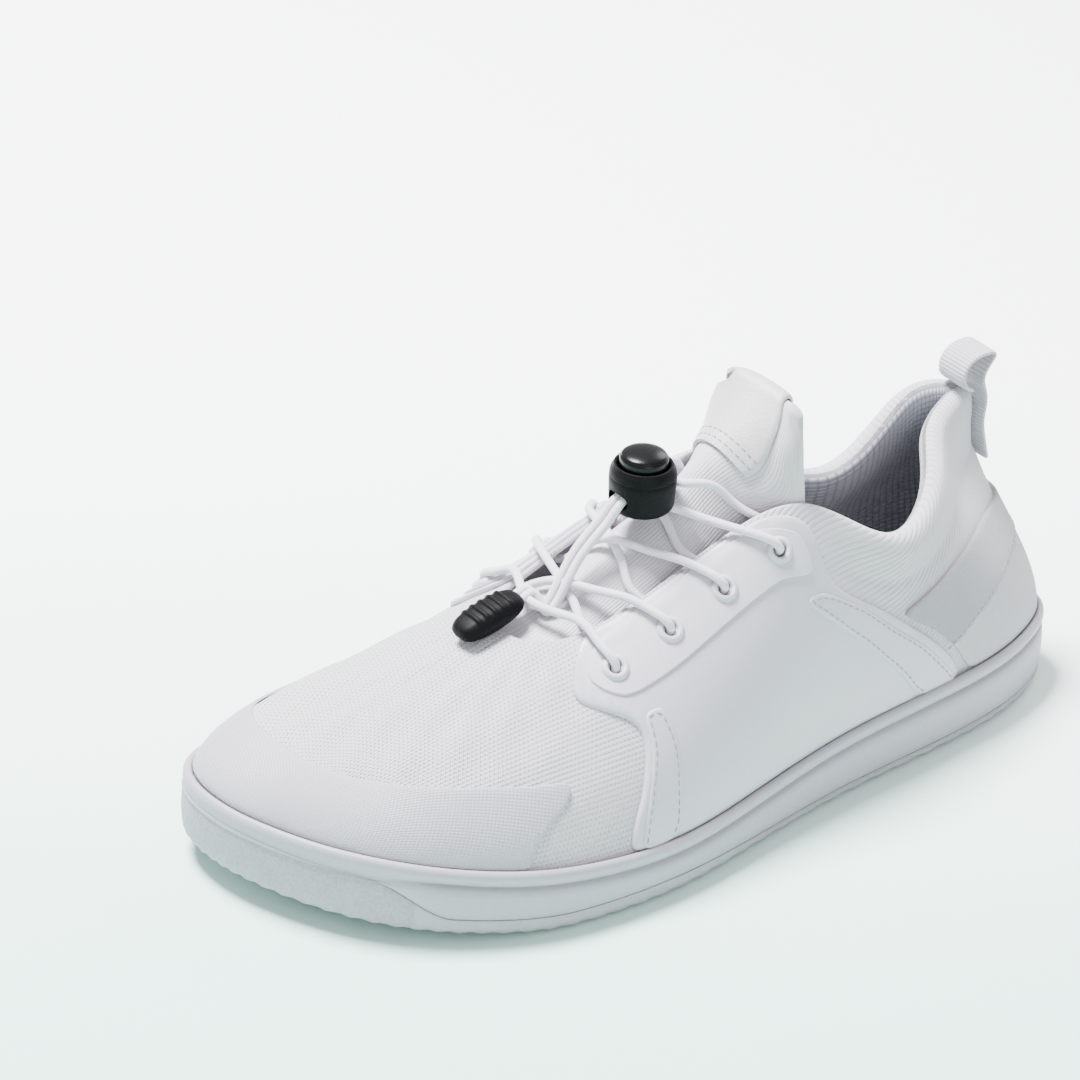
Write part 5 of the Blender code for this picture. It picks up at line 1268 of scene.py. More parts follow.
@dataclass
class Upper:
    """Hollow knitted wall with a padded collar and its lining."""

    columns: int = 432
    outer_rows: int = 34
    rim_rows: int = 9
    inner_rows: int = 16
    hole_sides: int = 20
    collar_roll: float = 1.1 * MM
    collar_end: float = 5.3
    softness: float = 0.35 * MM

    def relief(self, last: Last, stations: np.ndarray, share: np.ndarray) -> np.ndarray:
        """Height of the padded roll and the soft creases over the plain wall."""
        collar = last.collar_share(stations)
        roll = self.collar_roll * collar * np.exp(-((share - 0.90) / 0.075) ** 2)
        dent = -0.7 * MM * collar * np.exp(-((share - 0.735) / 0.03) ** 2)
        vamp = smooth((stations - 7.5) / 1.5) * smooth((COUNT - 7.5 - stations) / 1.5)
        folds = np.sin(stations * 5.1 + share * 9.0) * np.sin(stations * 2.3 - share * 14.0 + 1.0)
        flex = np.exp(-((stations - 8.6 - (share - 0.6) * 1.6) / 0.16) ** 2)
        flex += np.exp(-((stations - (COUNT - 8.6) + (share - 0.6) * 1.6) / 0.16) ** 2)
        crease = -0.5 * MM * flex * np.exp(-((share - 0.66) / 0.12) ** 2)
        waves = folds * self.softness * vamp * smooth(share / 0.3) * smooth((1 - share) / 0.1)
        return roll + dent + waves + crease

    def build(self, last: Last, wardrobe: Wardrobe) -> bpy.types.Object:
        """Build the wall, paint its zones and cut the lace holes."""
        stations = np.arange(self.columns) / self.columns * COUNT
        sampled = last.wall_point(stations[None], np.linspace(0, 1, 30)[:, None])
        length = np.linalg.norm(np.diff(sampled, axis=0), axis=-1).sum(0)
        full = last.wall_thickness(stations, np.ones(self.columns))
        start = 1 - full / 2 / length
        rings, shares, kinds = [], [], []
        for k in range(self.outer_rows):
            share = start * k / (self.outer_rows - 1)
            rings.append(last.on_wall(stations, share, self.relief(last, stations, share)))
            shares.append(share)
            kinds.append(0)
        rim = rings[-1]
        normal = last.wall_normal(stations, start)
        up = unit(last.wall_point(stations, start) - last.wall_point(stations, start - 0.02))
        reach = full / 2 + self.relief(last, stations, start) / 2
        middle = rim - normal * reach[:, None]
        for k in range(1, self.rim_rows + 1):
            angle = math.pi * k / (self.rim_rows + 1)
            rings.append(middle + (normal * math.cos(angle) + up * math.sin(angle)) * reach[:, None])
            shares.append(start + (1 - start) * math.sin(angle))
            kinds.append(0 if k <= self.rim_rows * 0.7 else 1)
        for k in range(self.inner_rows):
            share = start * (1 - k / (self.inner_rows - 1))
            rings.append(last.on_wall(stations, share, -last.wall_thickness(stations, share)))
            shares.append(share)
            kinds.append(1)
        points = np.concatenate(rings)
        signed = (stations + COUNT / 2) % COUNT - COUNT / 2
        near = np.abs(signed)
        inner = np.array(kinds)[:, None] == 1
        heights = np.array([np.broadcast_to(share, (self.columns,)) for share in shares])
        wrap = np.column_stack([np.tile(signed * STATION_GIRTH, len(rings)),
                                (heights * WALL_GIRTH * np.where(inner, -1, 1)).ravel()])
        on_collar = (near < self.collar_end) | ((near < self.collar_end + 0.6) & (heights > 0.9))
        zones = np.where(inner, np.where(near < self.collar_end - 0.1, 2, 1), on_collar).ravel()
        wall = make_piece("upper_knit_wall", points, strip_faces(len(rings), self.columns, True, True),
                          [wardrobe["knit"], wardrobe["collar"], wardrobe["lining"]], around(points), zones)
        corners = corners_of(wall.data)
        wrapped = np.repeat(zones, 4)[:, None] > 0
        flat = np.where(wrapped, wrap[corners], around(points)[corners])
        wall.data.uv_layers["Cloth"].data.foreach_set("uv", flat.astype(np.float32).ravel())
        rod = [(EYELET_HOLE / 2, -3.4 * UPPER_WALL), (EYELET_HOLE / 2, UPPER_WALL)]
        points, faces = turned_at_eyelets(last, rod, self.hole_sides, rod_faces(2, self.hole_sides))
        plain = cut_out(wall, make_piece("lace_hole_rods", points, faces, [wardrobe["knit"]]))
        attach(plain, "root")
        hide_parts("upper")
        return plain


@dataclass
class SidePanel:
    """Moulded panel of one side with its eyestay plate, strips and stitches."""

    side: str
    mirror: bool
    rim: float = 0.28 * MM
    ridge: float = 0.35 * MM
    strip: float = 0.55 * MM

    def turned(self, edges: Sequence) -> Sequence:
        """Outline on this side of the shoe."""
        return mirrored(edges) if self.mirror else edges

    def build(self, last: Last, wardrobe: Wardrobe) -> list:
        """Build the panel, its two strips and their stitches."""
        plate = Flat.loop(self.turned(PLATE_OUTLINE), last, 2, 1.6)
        inner = Flat.inset(plate, 0.3)
        outer = Flat.loop(self.turned(PANEL_OUTLINE), last)
        notches = [(a.station + b.station) / 2 for a, b in zip(EYELETS, EYELETS[1:])]
        notches = [COUNT - s if self.mirror else s for s in notches]

        def step(points: np.ndarray) -> np.ndarray:
            """Height of plate, ridge and rolled rim over the panel."""
            depth = Flat.distance(points, plate) * np.where(Flat.inside(points, plate), 1, -1)
            raised = PLATE_STEP * smooth(depth / 0.3)
            gap = np.ones(len(points))
            for station in notches:
                gap -= np.exp(-((points[:, 0] / Flat.STEP[0] - station) / 0.085) ** 2)
            line = np.exp(-((points[:, 1] - 0.908 * Flat.STEP[1]) / 1.1) ** 2)
            bar = self.ridge * line * np.clip(gap, 0, 1) * (depth > 1.2)
            edge = Flat.distance(points, outer)
            rolled = self.rim * np.exp(-((edge - 1.3) / 0.75) ** 2) * (points[:, 1] < 0.9 * Flat.STEP[1])
            return raised + bar + rolled

        def zone(points: np.ndarray) -> np.ndarray:
            """1 on the eyestay plate, which takes the film's lighter copy as painted highlight."""
            return Flat.inside(points, plate)

        panel = Patch(f"panel_{self.side}", (f"side_panel_{self.side}",), self.turned(PANEL_OUTLINE),
                      PANEL_THICKNESS, [wardrobe["moulded"], wardrobe["plate"]],
                      holes=eyelets_of(self.mirror), step=step, lines=(plate, inner), zone=zone)
        pieces = [panel.build(last)]
        pieces[0]
        lift = PANEL_THICKNESS + 0.05 * MM
        seams = []
        for label, edges in (("front", FRONT_STRIP), ("rear", REAR_STRIP)):
            strip = Patch(f"strip_{label}_{self.side}", (), self.turned(edges), self.strip,
                          [wardrobe["moulded"]], pitch=2.0, round_off=0.5, base=lift)
            made = strip.build(last)
            pieces.append(made)
            loop = Flat.inset(Flat.loop(self.turned(edges), last), 1.25)
            loop = np.vstack([loop, loop[:1]]) / Flat.STEP
            low = loop[:, 1] > 0.10
            seams.append(last.on_wall(loop[low, 0], loop[low, 1], np.full(low.sum(), lift + self.strip)))
        return pieces + [self.sewn(seams, wardrobe)]

    def sewn(self, seams: list, wardrobe: Wardrobe) -> bpy.types.Object:
        """Stitches along the strips, without the jumps where a seam is left out."""
        lines = []
        for seam in seams:
            jumps = np.where(np.linalg.norm(np.diff(seam, axis=0), axis=1) > 6 * MM)[0]
            lines += [part for part in np.split(seam, jumps + 1) if len(part) > 3]
        made = Repeats.along(f"stitches_{self.side}", lines, stitch_bead(1.9 * MM, 0.5 * MM), 2.7 * MM,
                             wardrobe["thread"])
        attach(made, "root")
        return made


@dataclass
class HeelCounter:
    """Suede band over a felt-like heel base, parted by a low seam."""

    def build(self, last: Last, wardrobe: Wardrobe) -> list:
        """Build the band with its two zones and the seam's stitches."""
        edges = list(COUNTER_OUTLINE) + [Edge(-e.station, e.share) for e in reversed(COUNTER_OUTLINE[1:-1])]
        seam = np.array([(e.station, e.share) for e in SUEDE_SEAM])

        def seam_gap(points: np.ndarray) -> np.ndarray:
            """Chart distance over the seam, with a slightly ragged line."""
            station = points[:, 0] / Flat.STEP[0]
            share = np.interp(np.abs(station), seam[:, 0], seam[:, 1])
            ragged = np.sin(station * 31) * 0.25 + np.sin(station * 73 + 1) * 0.15
            return points[:, 1] - share * Flat.STEP[1] - ragged

        def step(points: np.ndarray) -> np.ndarray:
            """The suede stands over the felt."""
            return 0.45 * MM * smooth(seam_gap(points) / 0.7)

        def zone(points: np.ndarray) -> np.ndarray:
            """1 below the seam."""
            return seam_gap(points) < 0

        band = Patch("counter_band", ("heel_counter",), edges, COUNTER_THICKNESS,
                     [wardrobe["suede"], wardrobe["felt"]], pitch=1.3, step=step, zone=zone).build(last)
        stations = np.linspace(-seam[-1, 0], seam[-1, 0], 180)
        shares = np.interp(np.abs(stations), *seam.T) + 0.022
        seam_line = last.on_wall(stations, shares, np.full(len(stations), COUNTER_THICKNESS + 0.55 * MM))
        sewn = Repeats.along("stitches_counter", [seam_line], stitch_bead(1.7 * MM, 0.45 * MM), 2.5 * MM,
                             wardrobe["thread"])
        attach(sewn, "root")
        return [band, sewn]


@dataclass
class ToeCap:
    """Thin film over the toe."""

    def build(self, last: Last, wardrobe: Wardrobe) -> bpy.types.Object:
        """Build the film."""
        film = Patch("toe_film_piece", ("toe_cap",), TOE_CAP_OUTLINE, TOE_CAP_THICKNESS, [wardrobe["toe"]],
                     pitch=1.9, round_off=0.6).build(last)
        return film


@dataclass
class Sole:
    """Cup with groove and bead, outsole rim, tread and insole."""

    columns: int = 351
    skin: float = 0.3 * MM
    scallops: int = 90

    def ring(self, last: Last, inset: float, height: np.ndarray) -> np.ndarray:
        """Ring of points at an inset and a height."""
        plan = last.outline(self.stations(), inset)[0]
        return np.column_stack([plan, np.broadcast_to(height, (self.columns,))])

    def rings(self, last: Last, rows: Sequence) -> list:
        """Rings from pairs of inset and height."""
        return [self.ring(last, inset, height) for inset, height in rows]

    def stations(self) -> np.ndarray:
        """Stations of the rings."""
        return np.arange(self.columns) / self.columns * COUNT

    def floor(self, last: Last, inset: float) -> np.ndarray:
        """Height of the sole's underside below a ring."""
        return last.ground(last.outline(self.stations(), inset)[0][:, 0] + last.shift[0])

    def toe(self, last: Last) -> np.ndarray:
        """1 along the front of the toe, 0 behind the ball."""
        return smooth((last.sole.at(self.stations())[:, 0] / SOLE_LENGTH - 0.86) / 0.07)

    def parting(self, last: Last) -> np.ndarray:
        """Height of the outsole's upper edge."""
        x = last.sole.at(self.stations())[:, 0] / SOLE_LENGTH
        rear = OUTSOLE_BASE + LUG_HEIGHT
        side = rear + (PARTING_HEIGHT - rear) * smooth((x - 0.45) / 0.2)
        return self.floor(last, 0.0) + side + (TOE_GUARD_HEIGHT - side) * self.toe(last)

    def closed(self, name: str, rings: list, finishes: Sequence,
               zones: Optional[list] = None) -> bpy.types.Object:
        """Closed shell from rings, filled at its first and last ring."""
        count = self.columns
        points = np.concatenate(rings)
        faces = strip_faces(len(rings), count, False, True)
        marks = zones or [0] * len(faces)
        for start in (0, (len(rings) - 1) * count):
            faces.append((start, start + 1, start + count - 1))
            faces += [(start + i, start + i + 1, start + count - i - 1, start + count - i)
                      for i in range(1, (count - 1) // 2)]
        marks = marks + [marks[0]] * (len(faces) - len(marks))
        piece = make_piece(name, points, faces, finishes, points[:, :2], marks)
        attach(piece, "root")
        return piece

    def build_cup(self, last: Last, wardrobe: Wardrobe) -> bpy.types.Object:
        """Side wall with its groove, round bead and footbed."""
        edge = last.outline(self.stations(), 0.0)[1]
        parting = self.parting(last)
        low = parting + SEAM_GAP
        groove = edge - BEAD_HEIGHT
        depth = (GROOVE_DEPTH + 0.3 * MM) * (1 - self.toe(last)) + 0.1 * MM
        base = LUG_HEIGHT + OUTSOLE_BASE
        turn_up = np.maximum(parting - self.floor(last, 0.0) - base, 0)
        rows = [(6.3 * MM, self.floor(last, 6 * MM) + base + SEAM_GAP),
                (4.5 * MM, self.floor(last, 4.2 * MM) + base + turn_up * 0.25 + SEAM_GAP),
                (3.7 * MM, low), (0.6 * MM, low), (self.skin, low + 0.35 * MM)]
        rows += [(self.skin - 0.35 * MM * math.sin(math.pi * share), low + (groove - 1.2 * MM - low) * share)
                 for share in (0.25, 0.5, 0.75)]
        rows += [(0.32 * MM, groove - 1.2 * MM), (self.skin + depth * 0.45, groove - 0.55 * MM),
                 (self.skin + depth, groove - 0.1 * MM), (self.skin + depth, groove + 0.35 * MM),
                 (self.skin + depth * 0.45, groove + 0.8 * MM)]
        tall, half_bead = BEAD_HEIGHT * 0.44, (BEAD_WIDTH - SIDE_INSET) / 2
        for angle in [math.pi * (k - 1.2) / 9 for k in range(11)]:
            rows.append((SIDE_INSET + half_bead * (1 - math.cos(max(angle, -0.6))),
                         edge - tall + tall * math.sin(angle)))
        ledge = edge - BEAD_OVERLAP - SEAM_GAP
        deep = BEAD_WIDTH + SEAM_GAP * 2 + UPPER_WALL + 0.6 * MM
        bed = self.floor(last, deep) + LUG_HEIGHT + OUTSOLE_BASE + SEAM_GAP + MIDSOLE_BASE
        rows += [(BEAD_WIDTH, ledge), (deep, ledge), (deep, bed)]
        cup = self.closed("sole_cup", self.rings(last, rows), [wardrobe["sole"]])
        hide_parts("midsole")
        return cup

    def build_outsole(self, last: Last, wardrobe: Wardrobe) -> bpy.types.Object:
        """Tread plate with its turned-up rim and textured toe bumper."""
        base = LUG_HEIGHT + OUTSOLE_BASE
        parting = self.parting(last)
        floor = self.floor(last, 0.0)
        turn_up = np.maximum(parting - floor - base, 0)
        scallop = 0.35 * MM * np.sin(self.stations() / COUNT * 2 * np.pi * self.scallops)
        low = floor + LUG_HEIGHT * 1.2
        rows = [(inset, self.floor(last, inset) + LUG_HEIGHT * share + wave)
                for inset, share, wave in ((3.4 * MM, 1.0, 0.0), (2.6 * MM, 0.5, 0.0), (2.0 * MM, 0.35, 0.0),
                                           (1.0 * MM, 0.6, scallop))]
        rings = self.rings(last, rows + [(0.45 * MM, low + scallop)])
        outward = last.outline(self.stations(), 0.0)[2] * self.toe(last)[:, None]
        for share in (0.2, 0.4, 0.6, 0.8):
            ring = self.ring(last, self.skin, low + (parting - low) * share)
            ring[:, :2] += outward * (0.45 * MM * math.sin(math.pi * share))
            rings.append(ring)
        rings += self.rings(last, [
            (self.skin, parting - 0.45 * MM), (0.55 * MM, parting), (3.4 * MM, parting),
            (4.2 * MM, self.floor(last, 4.2 * MM) + base + turn_up * 0.25),
            (6.0 * MM, self.floor(last, 6.0 * MM) + base)])
        toe = self.toe(last) > 0.35
        zones = [int(3 <= r <= 9 and toe[c]) for r in range(len(rings) - 1) for c in range(self.columns)]
        plate = self.closed("outsole_plate", rings, [wardrobe["tread"], wardrobe["bumper"]], zones)
        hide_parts("outsole")
        return plate

    def build_insole(self, last: Last, wardrobe: Wardrobe) -> bpy.types.Object:
        """Loose sheet on the footbed with a rounded top edge."""
        inset = BEAD_WIDTH + SEAM_GAP * 2 + UPPER_WALL + 1.1 * MM
        low = self.floor(last, inset) + LUG_HEIGHT + OUTSOLE_BASE + SEAM_GAP * 2 + MIDSOLE_BASE
        rows = [(inset + aside, low + INSOLE_THICKNESS * share)
                for aside, share in ((0.0, 0.0), (-0.2 * MM, 0.5), (0.2 * MM, 0.9), (0.9 * MM, 1.0))]
        sheet = self.closed("insole_sheet", self.rings(last, rows), [wardrobe["insole"]])
        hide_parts("insole")
        return sheet


@dataclass
class Tread:
    """Key lugs and wavy bars under the sole."""

    groove: float = 1.5 * MM
    top: float = LUG_HEIGHT + OUTSOLE_BASE * 0.4

    def key_bead(self) -> bpy.types.Object:
        """One square key lug: a thick line wound inwards."""
        half = KEY_SIZE / 2
        bar = (KEY_SIZE - 4 * self.groove) / 5 * 1.15
        a, b = half - bar / 2, half - bar * 1.5 - self.groove
        bm = bmesh.new()
        route = [(-a, -a), (a, -a), (a, a), (-a, a), (-a, -b * 0.5), (b, -b * 0.5), (b, b * 0.7),
                 (-b * 0.3, b * 0.7)]
        for index, ((ax, ay), (bx, by)) in enumerate(zip(route, route[1:])):
            along = unit(np.array([bx - ax, by - ay]))
            side = np.array([-along[1], along[0]]) * bar / 2
            start = np.array([ax, ay]) - along * bar / 2
            end = np.array([bx, by]) + along * bar / 2
            corners = [start - side, end - side, end + side, start + side]
            middle = (start + end) / 2
            low = [bm.verts.new((*(middle + (c - middle) * 0.97), 0.03 * MM * index)) for c in corners]
            high = [bm.verts.new((*c, self.top)) for c in corners]
            bm.faces.new(list(reversed(low)))
            bm.faces.new(high)
            for i in range(4):
                j = (i + 1) % 4
                bm.faces.new((low[i], low[j], high[j], high[i]))
        mesh = bpy.data.meshes.new("key_lug")
        bm.to_mesh(mesh)
        bm.free()
        return put("key_lug", mesh)

    def spots(self, last: Last) -> np.ndarray:
        """Places of the key lugs, on a grid turned by 45 degrees."""
        step = KEY_PITCH / math.sqrt(2)
        rows = int(BALL_WIDTH / step)
        loop = last.outline(np.arange(0, COUNT, 0.1), LUG_MARGIN + KEY_SIZE / 2)[0] + last.shift[:2]
        places = []
        for column in range(int(SOLE_LENGTH / step)):
            for row in range(-rows, rows + 1):
                x, y = SOLE_LENGTH * 0.19 + column * step, row * step
                on_arch = 0.30 < x / SOLE_LENGTH < 0.58 and y < -float(last.local_width(np.array(x))) * 0.20
                if (column + row) % 2 or x > SOLE_LENGTH * 0.80 or on_arch:
                    continue
                places.append((x, y))
        places = np.array(places)
        places = places[Flat.inside(places, loop)]
        return np.column_stack([places - last.shift[:2], last.ground(places[:, 0])])

    def waves(self, last: Last) -> tuple:
        """Points and faces of the wavy bars."""
        loop = last.outline(np.arange(0, COUNT, 0.1), LUG_MARGIN)[0] + last.shift[:2]
        heel, toe = SOLE_LENGTH * 0.035, SOLE_LENGTH * 0.975
        bars = [heel + (i + 0.5) * WAVE_PITCH for i in range(int(SOLE_LENGTH * 0.13 / WAVE_PITCH))]
        bars += [toe - (i + 0.7) * WAVE_PITCH for i in range(int(SOLE_LENGTH * 0.14 / WAVE_PITCH))]
        points, faces = [], []
        half = WAVE_WIDTH / 2
        for x in bars:
            y = np.arange(-BALL_WIDTH / 2, BALL_WIDTH / 2, 1.2 * MM)
            middle = x + WAVE_SWING * np.sin(2 * np.pi * y / WAVE_LENGTH)
            spots = np.column_stack([middle, y])
            spots = spots[Flat.inside(spots, loop)]
            if len(spots) < 8:
                continue
            faces += [tuple(len(points) + i for i in face) for face in rod_faces(len(spots), 4)]
            for px, py in spots:
                z = float(last.ground(np.array(px)))
                for dx, dz in ((-half, self.top), (-half * 0.86, 0.0), (half * 0.86, 0.0), (half, self.top)):
                    points.append((px + dx - last.shift[0], py - last.shift[1], z + dz))
        return np.array(points), faces

    def build(self, last: Last, wardrobe: Wardrobe) -> list:
        """Build lugs and bars."""
        keys = Repeats.on_points("tread_keys", self.spots(last), math.radians(45), self.key_bead(),
                                 wardrobe["tread"])
        points, faces = self.waves(last)
        bars = make_piece("tread_waves", points, faces, [wardrobe["tread"]], points[:, :2])
        for piece in (keys, bars):
            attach(piece, "root")
        return [keys, bars]


@dataclass
class Tongue:
    """Padded knit tongue with the leather tab folded over its top."""

    columns: int = 56
    pitch: float = 1.6 * MM
    tab_from: float = 0.25
    tab_to: float = 0.985
    tab_row: float = 7.15
    fold_steps: int = 8
    back_rows: int = 9

    def surface(self, last: Last) -> tuple:
        """Middle sheet, its normals and table row numbers, finely divided."""
        table = np.array([last.tongue_row(row, self.columns) for row in TONGUE_ROWS])
        middle = table[:, self.columns // 2]
        knots = run(middle)
        where = np.linspace(0, knots[-1], round(knots[-1] / self.pitch) + 1)
        fine, rows = natural_curve(table.reshape(len(knots), -1), knots, where)
        sheet = fine.reshape(len(where), self.columns + 1, 3)
        return sheet, sheet_normals(sheet), rows, where

    def half(self, rows: np.ndarray) -> np.ndarray:
        """Half of the tongue's thickness by row and column."""
        across = np.linspace(-1, 1, self.columns + 1)
        shape = np.sqrt(np.clip(1 - 0.93 * across**6, 0.02, 1))
        along = 0.55 + 0.45 * smooth(rows / (len(TONGUE_ROWS) - 1) / 0.3)
        return TONGUE_THICKNESS / 2 * along[:, None] * shape[None, :]

    @staticmethod
    def wrapped(name: str, outer: list, finish: bpy.types.Material, flat: np.ndarray) -> bpy.types.Object:
        """Closed piece from rows that run over a top edge and back."""
        grid = np.array(outer)
        rows, columns = grid.shape[:2]
        faces = strip_faces(rows, columns)
        end = (rows - 1) * columns
        faces += [(c, c + 1, end + c + 1, end + c) for c in range(columns - 1)]
        for c in (0, columns - 1):
            for r in range(rows // 2):
                a, b = r * columns + c, (r + 1) * columns + c
                d, e = (rows - 2 - r) * columns + c, (rows - 1 - r) * columns + c
                corners = tuple(dict.fromkeys((a, b, d, e)))
                if len(corners) > 2:
                    faces.append(corners)
        piece = make_piece(name, grid.reshape(-1, 3), faces, [finish], flat)
        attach(piece, "root")
        return piece

    def build(self, last: Last, wardrobe: Wardrobe) -> list:
        """Build the tongue, its tab and the tab's stitches."""
        sheet, normal, rows, reach = self.surface(last)
        half = self.half(rows)
        across = np.linspace(0, 1, self.columns + 1)
        bare = smooth((self.tab_from - across) / 0.10) * smooth(across / 0.06)
        above = smooth((rows - 6.0) / 1.0)
        puff = 1.1 * MM * above[:, None] * bare[None, :]
        last_row = len(sheet) - 1
        up = unit(sheet[-1] - sheet[-2])
        layers = [sheet[r] + normal[r] * (half[r] + puff[r])[:, None] for r in range(last_row + 1)]
        for k in range(1, self.fold_steps):
            angle = math.pi * k / self.fold_steps
            reached = half[-1] + puff[-1] * (1 - k / self.fold_steps)
            way = normal[-1] * math.cos(angle) + up * math.sin(angle)
            layers.append(sheet[-1] + way * reached[:, None])
        layers += [sheet[r] - normal[r] * half[r][:, None] for r in range(last_row, -1, -1)]
        over = [reach[-1] + k * 0.8 * MM for k in range(1, self.fold_steps)]
        flat = np.array([(t, s) for t in [*reach, *over, *reach[::-1]] for s in run(sheet[last_row // 2])])
        tongue = self.wrapped("tongue_pad", layers, wardrobe["tongue"], flat)
        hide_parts("tongue")
        return [tongue] + self.build_tab(sheet, normal, rows, half, up, wardrobe)

    def build_tab(self, sheet: np.ndarray, normal: np.ndarray, rows: np.ndarray, half: np.ndarray,
                  up: np.ndarray, wardrobe: Wardrobe) -> list:
        """Leather band from the tongue's front over its top and down its back.

        Args:
            sheet: Middle sheet of the tongue.
            normal: Its normals.
            rows: Table row number of each fine row.
            half: Half thickness of the tongue.
            up: Direction over the top edge.
            wardrobe: Finishes.

        Returns:
            The tab and its stitches.
        """
        first = int(np.searchsorted(rows, self.tab_row))
        low, high = round(self.tab_from * self.columns), round(self.tab_to * self.columns)
        cut = slice(low, high + 1)
        last_row = len(sheet) - 1
        edge = np.linspace(-1, 1, high - low + 1)
        droop = np.clip((np.abs(edge) - 0.93) / 0.07, 0, 1) ** 2

        def layer(gap: float) -> list:
            """Rows of one face of the band."""
            drop = TAB_THICKNESS * 0.6 * droop * (gap > 0)
            reach = half[:, cut] + gap + 0.25 * MM - drop[None, :]
            front = [sheet[r, cut] + normal[r, cut] * reach[r][:, None] for r in range(first, last_row + 1)]
            fold = []
            for angle in [math.pi * k / self.fold_steps for k in range(1, self.fold_steps)]:
                way = normal[-1, cut] * math.cos(angle) + up[cut] * math.sin(angle) * 1.15
                fold.append(sheet[-1, cut] + way * reach[-1][:, None])
            back = [sheet[r, cut] - normal[r, cut] * reach[r][:, None]
                    for r in range(last_row, last_row - self.back_rows, -1)]
            return front + fold + back

        outer, inner = layer(TAB_THICKNESS), layer(0.0)
        loop = outer + inner[::-1]
        columns = high - low + 1
        grid = np.array(loop)
        faces = strip_faces(len(loop), columns, True)
        count = len(outer)
        for c in (0, columns - 1):
            for r in range(count - 1):
                a, b = r * columns + c, (r + 1) * columns + c
                d, e = (2 * count - 2 - r) * columns + c, (2 * count - 1 - r) * columns + c
                faces.append((a, b, d, e))
        flat = np.array([(r * self.pitch, c * 1.2 * MM) for r in range(len(loop)) for c in range(columns)])
        tab = make_piece("tongue_tab_band", grid.reshape(-1, 3), faces, [wardrobe["leather"]], flat)
        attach(tab, "root")
        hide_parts("tongue_tab")
        lines = []
        for row in (1.4, 3.0):
            r, part = int(row), row - int(row)
            lines.append((np.array(outer[r]) * (1 - part) + np.array(outer[r + 1]) * part)[2:-2])
        sewn = Repeats.along("stitches_tab", lines, stitch_bead(1.7 * MM, 0.45 * MM), 2.4 * MM,
                             wardrobe["thread"])
        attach(sewn, "root")
        return [tab, sewn]


@dataclass
class PullLoop:
    """Ribbon loop at the heel."""

    turns: int = 24
    pitch: float = 0.9 * MM

    def route(self, last: Last) -> np.ndarray:
        """Centre line of the ribbon in the XZ plane."""
        heel = np.array(0.0)
        half = LOOP_THICKNESS / 2
        back = [last.on_wall(heel, np.array(share), SEAM_GAP * 2 + half) for share in (0.66, 0.76, 0.86)]
        top = last.wall_point(heel, np.array(1.0))
        crest = top - last.wall_normal(heel, np.array(0.97)) * COLLAR_PAD * 0.35
        x, z = back[-1][0], top[2]
        path = [(p[0], p[2]) for p in back]
        path += [(x - 0.3 * MM, z - 2 * MM), (x + 1.0 * MM, z + LOOP_RISE * 0.5),
                 (top[0] - 3.5 * MM, z + LOOP_RISE * 0.93), (top[0] + 1.5 * MM, z + LOOP_RISE),
                 (crest[0] + 5.5 * MM, z + LOOP_RISE * 0.72), (crest[0] + 5.5 * MM, z + LOOP_RISE * 0.35),
                 (crest[0] + 2.0 * MM, z + SEAM_GAP * 3 + half)]
        return smooth_route(path, self.pitch)

    def build(self, last: Last, wardrobe: Wardrobe) -> bpy.types.Object:
        """Build the ribbon with rounded edges."""
        path = self.route(last)
        along = unit(np.gradient(path, axis=0))
        side = np.column_stack([-along[:, 1], along[:, 0]])
        middle = float(last.wall_point(np.array(0.0), np.array(1.0))[1])
        half = LOOP_THICKNESS / 2
        points, flat = [], []
        for k, ((x, z), (nx, nz)) in enumerate(zip(path, side)):
            for angle in circle(self.turns):
                wide = squared(math.cos(angle), 0.25) * LOOP_WIDTH / 2
                thick = squared(math.sin(angle), 0.6) * half
                points.append((x + nx * thick, middle + wide, z + nz * thick))
                flat.append((k * self.pitch, wide))
        ribbon = make_piece("pull_ribbon", np.array(points), rod_faces(len(path), self.turns),
                            [wardrobe["ribbon"]], np.array(flat))
        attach(ribbon, "root")
        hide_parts("heel_pull_loop")
        return ribbon


@dataclass
class Eyelets:
    """Moulded rings on the eyestay plates."""

    sides: int = 40

    def build(self, last: Last, wardrobe: Wardrobe) -> bpy.types.Object:
        """Build all rings as one piece."""
        hole, outer, rise = EYELET_HOLE / 2, EYELET_WIDTH / 2, EYELET_HEIGHT
        seat = 0.1 * MM + PANEL_THICKNESS + PLATE_STEP
        profile = [(hole, -1.9 * MM), (hole - 0.05 * MM, rise * 0.35), (hole + 0.18 * MM, rise * 0.8),
                   (hole + 0.6 * MM, rise), (outer - 0.9 * MM, rise * 0.95), (outer - 0.35 * MM, rise * 0.6),
                   (outer, 0.0), (outer, -0.35 * MM), (hole + 0.7 * MM, -0.5 * MM)]
        points, faces = turned_at_eyelets(last, [(radius, seat + height) for radius, height in profile],
                                          self.sides, strip_faces(len(profile), self.sides, True, True))
        # The rings take the plate's lighter film: painted highlight.
        rings = make_piece("eyelet_rings", points, faces, [wardrobe["plate"]])
        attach(rings, "root")
        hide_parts(*[f"eyelet_{side}_{k}" for side in ("lateral", "medial") for k in range(1, 5)])
        return rings


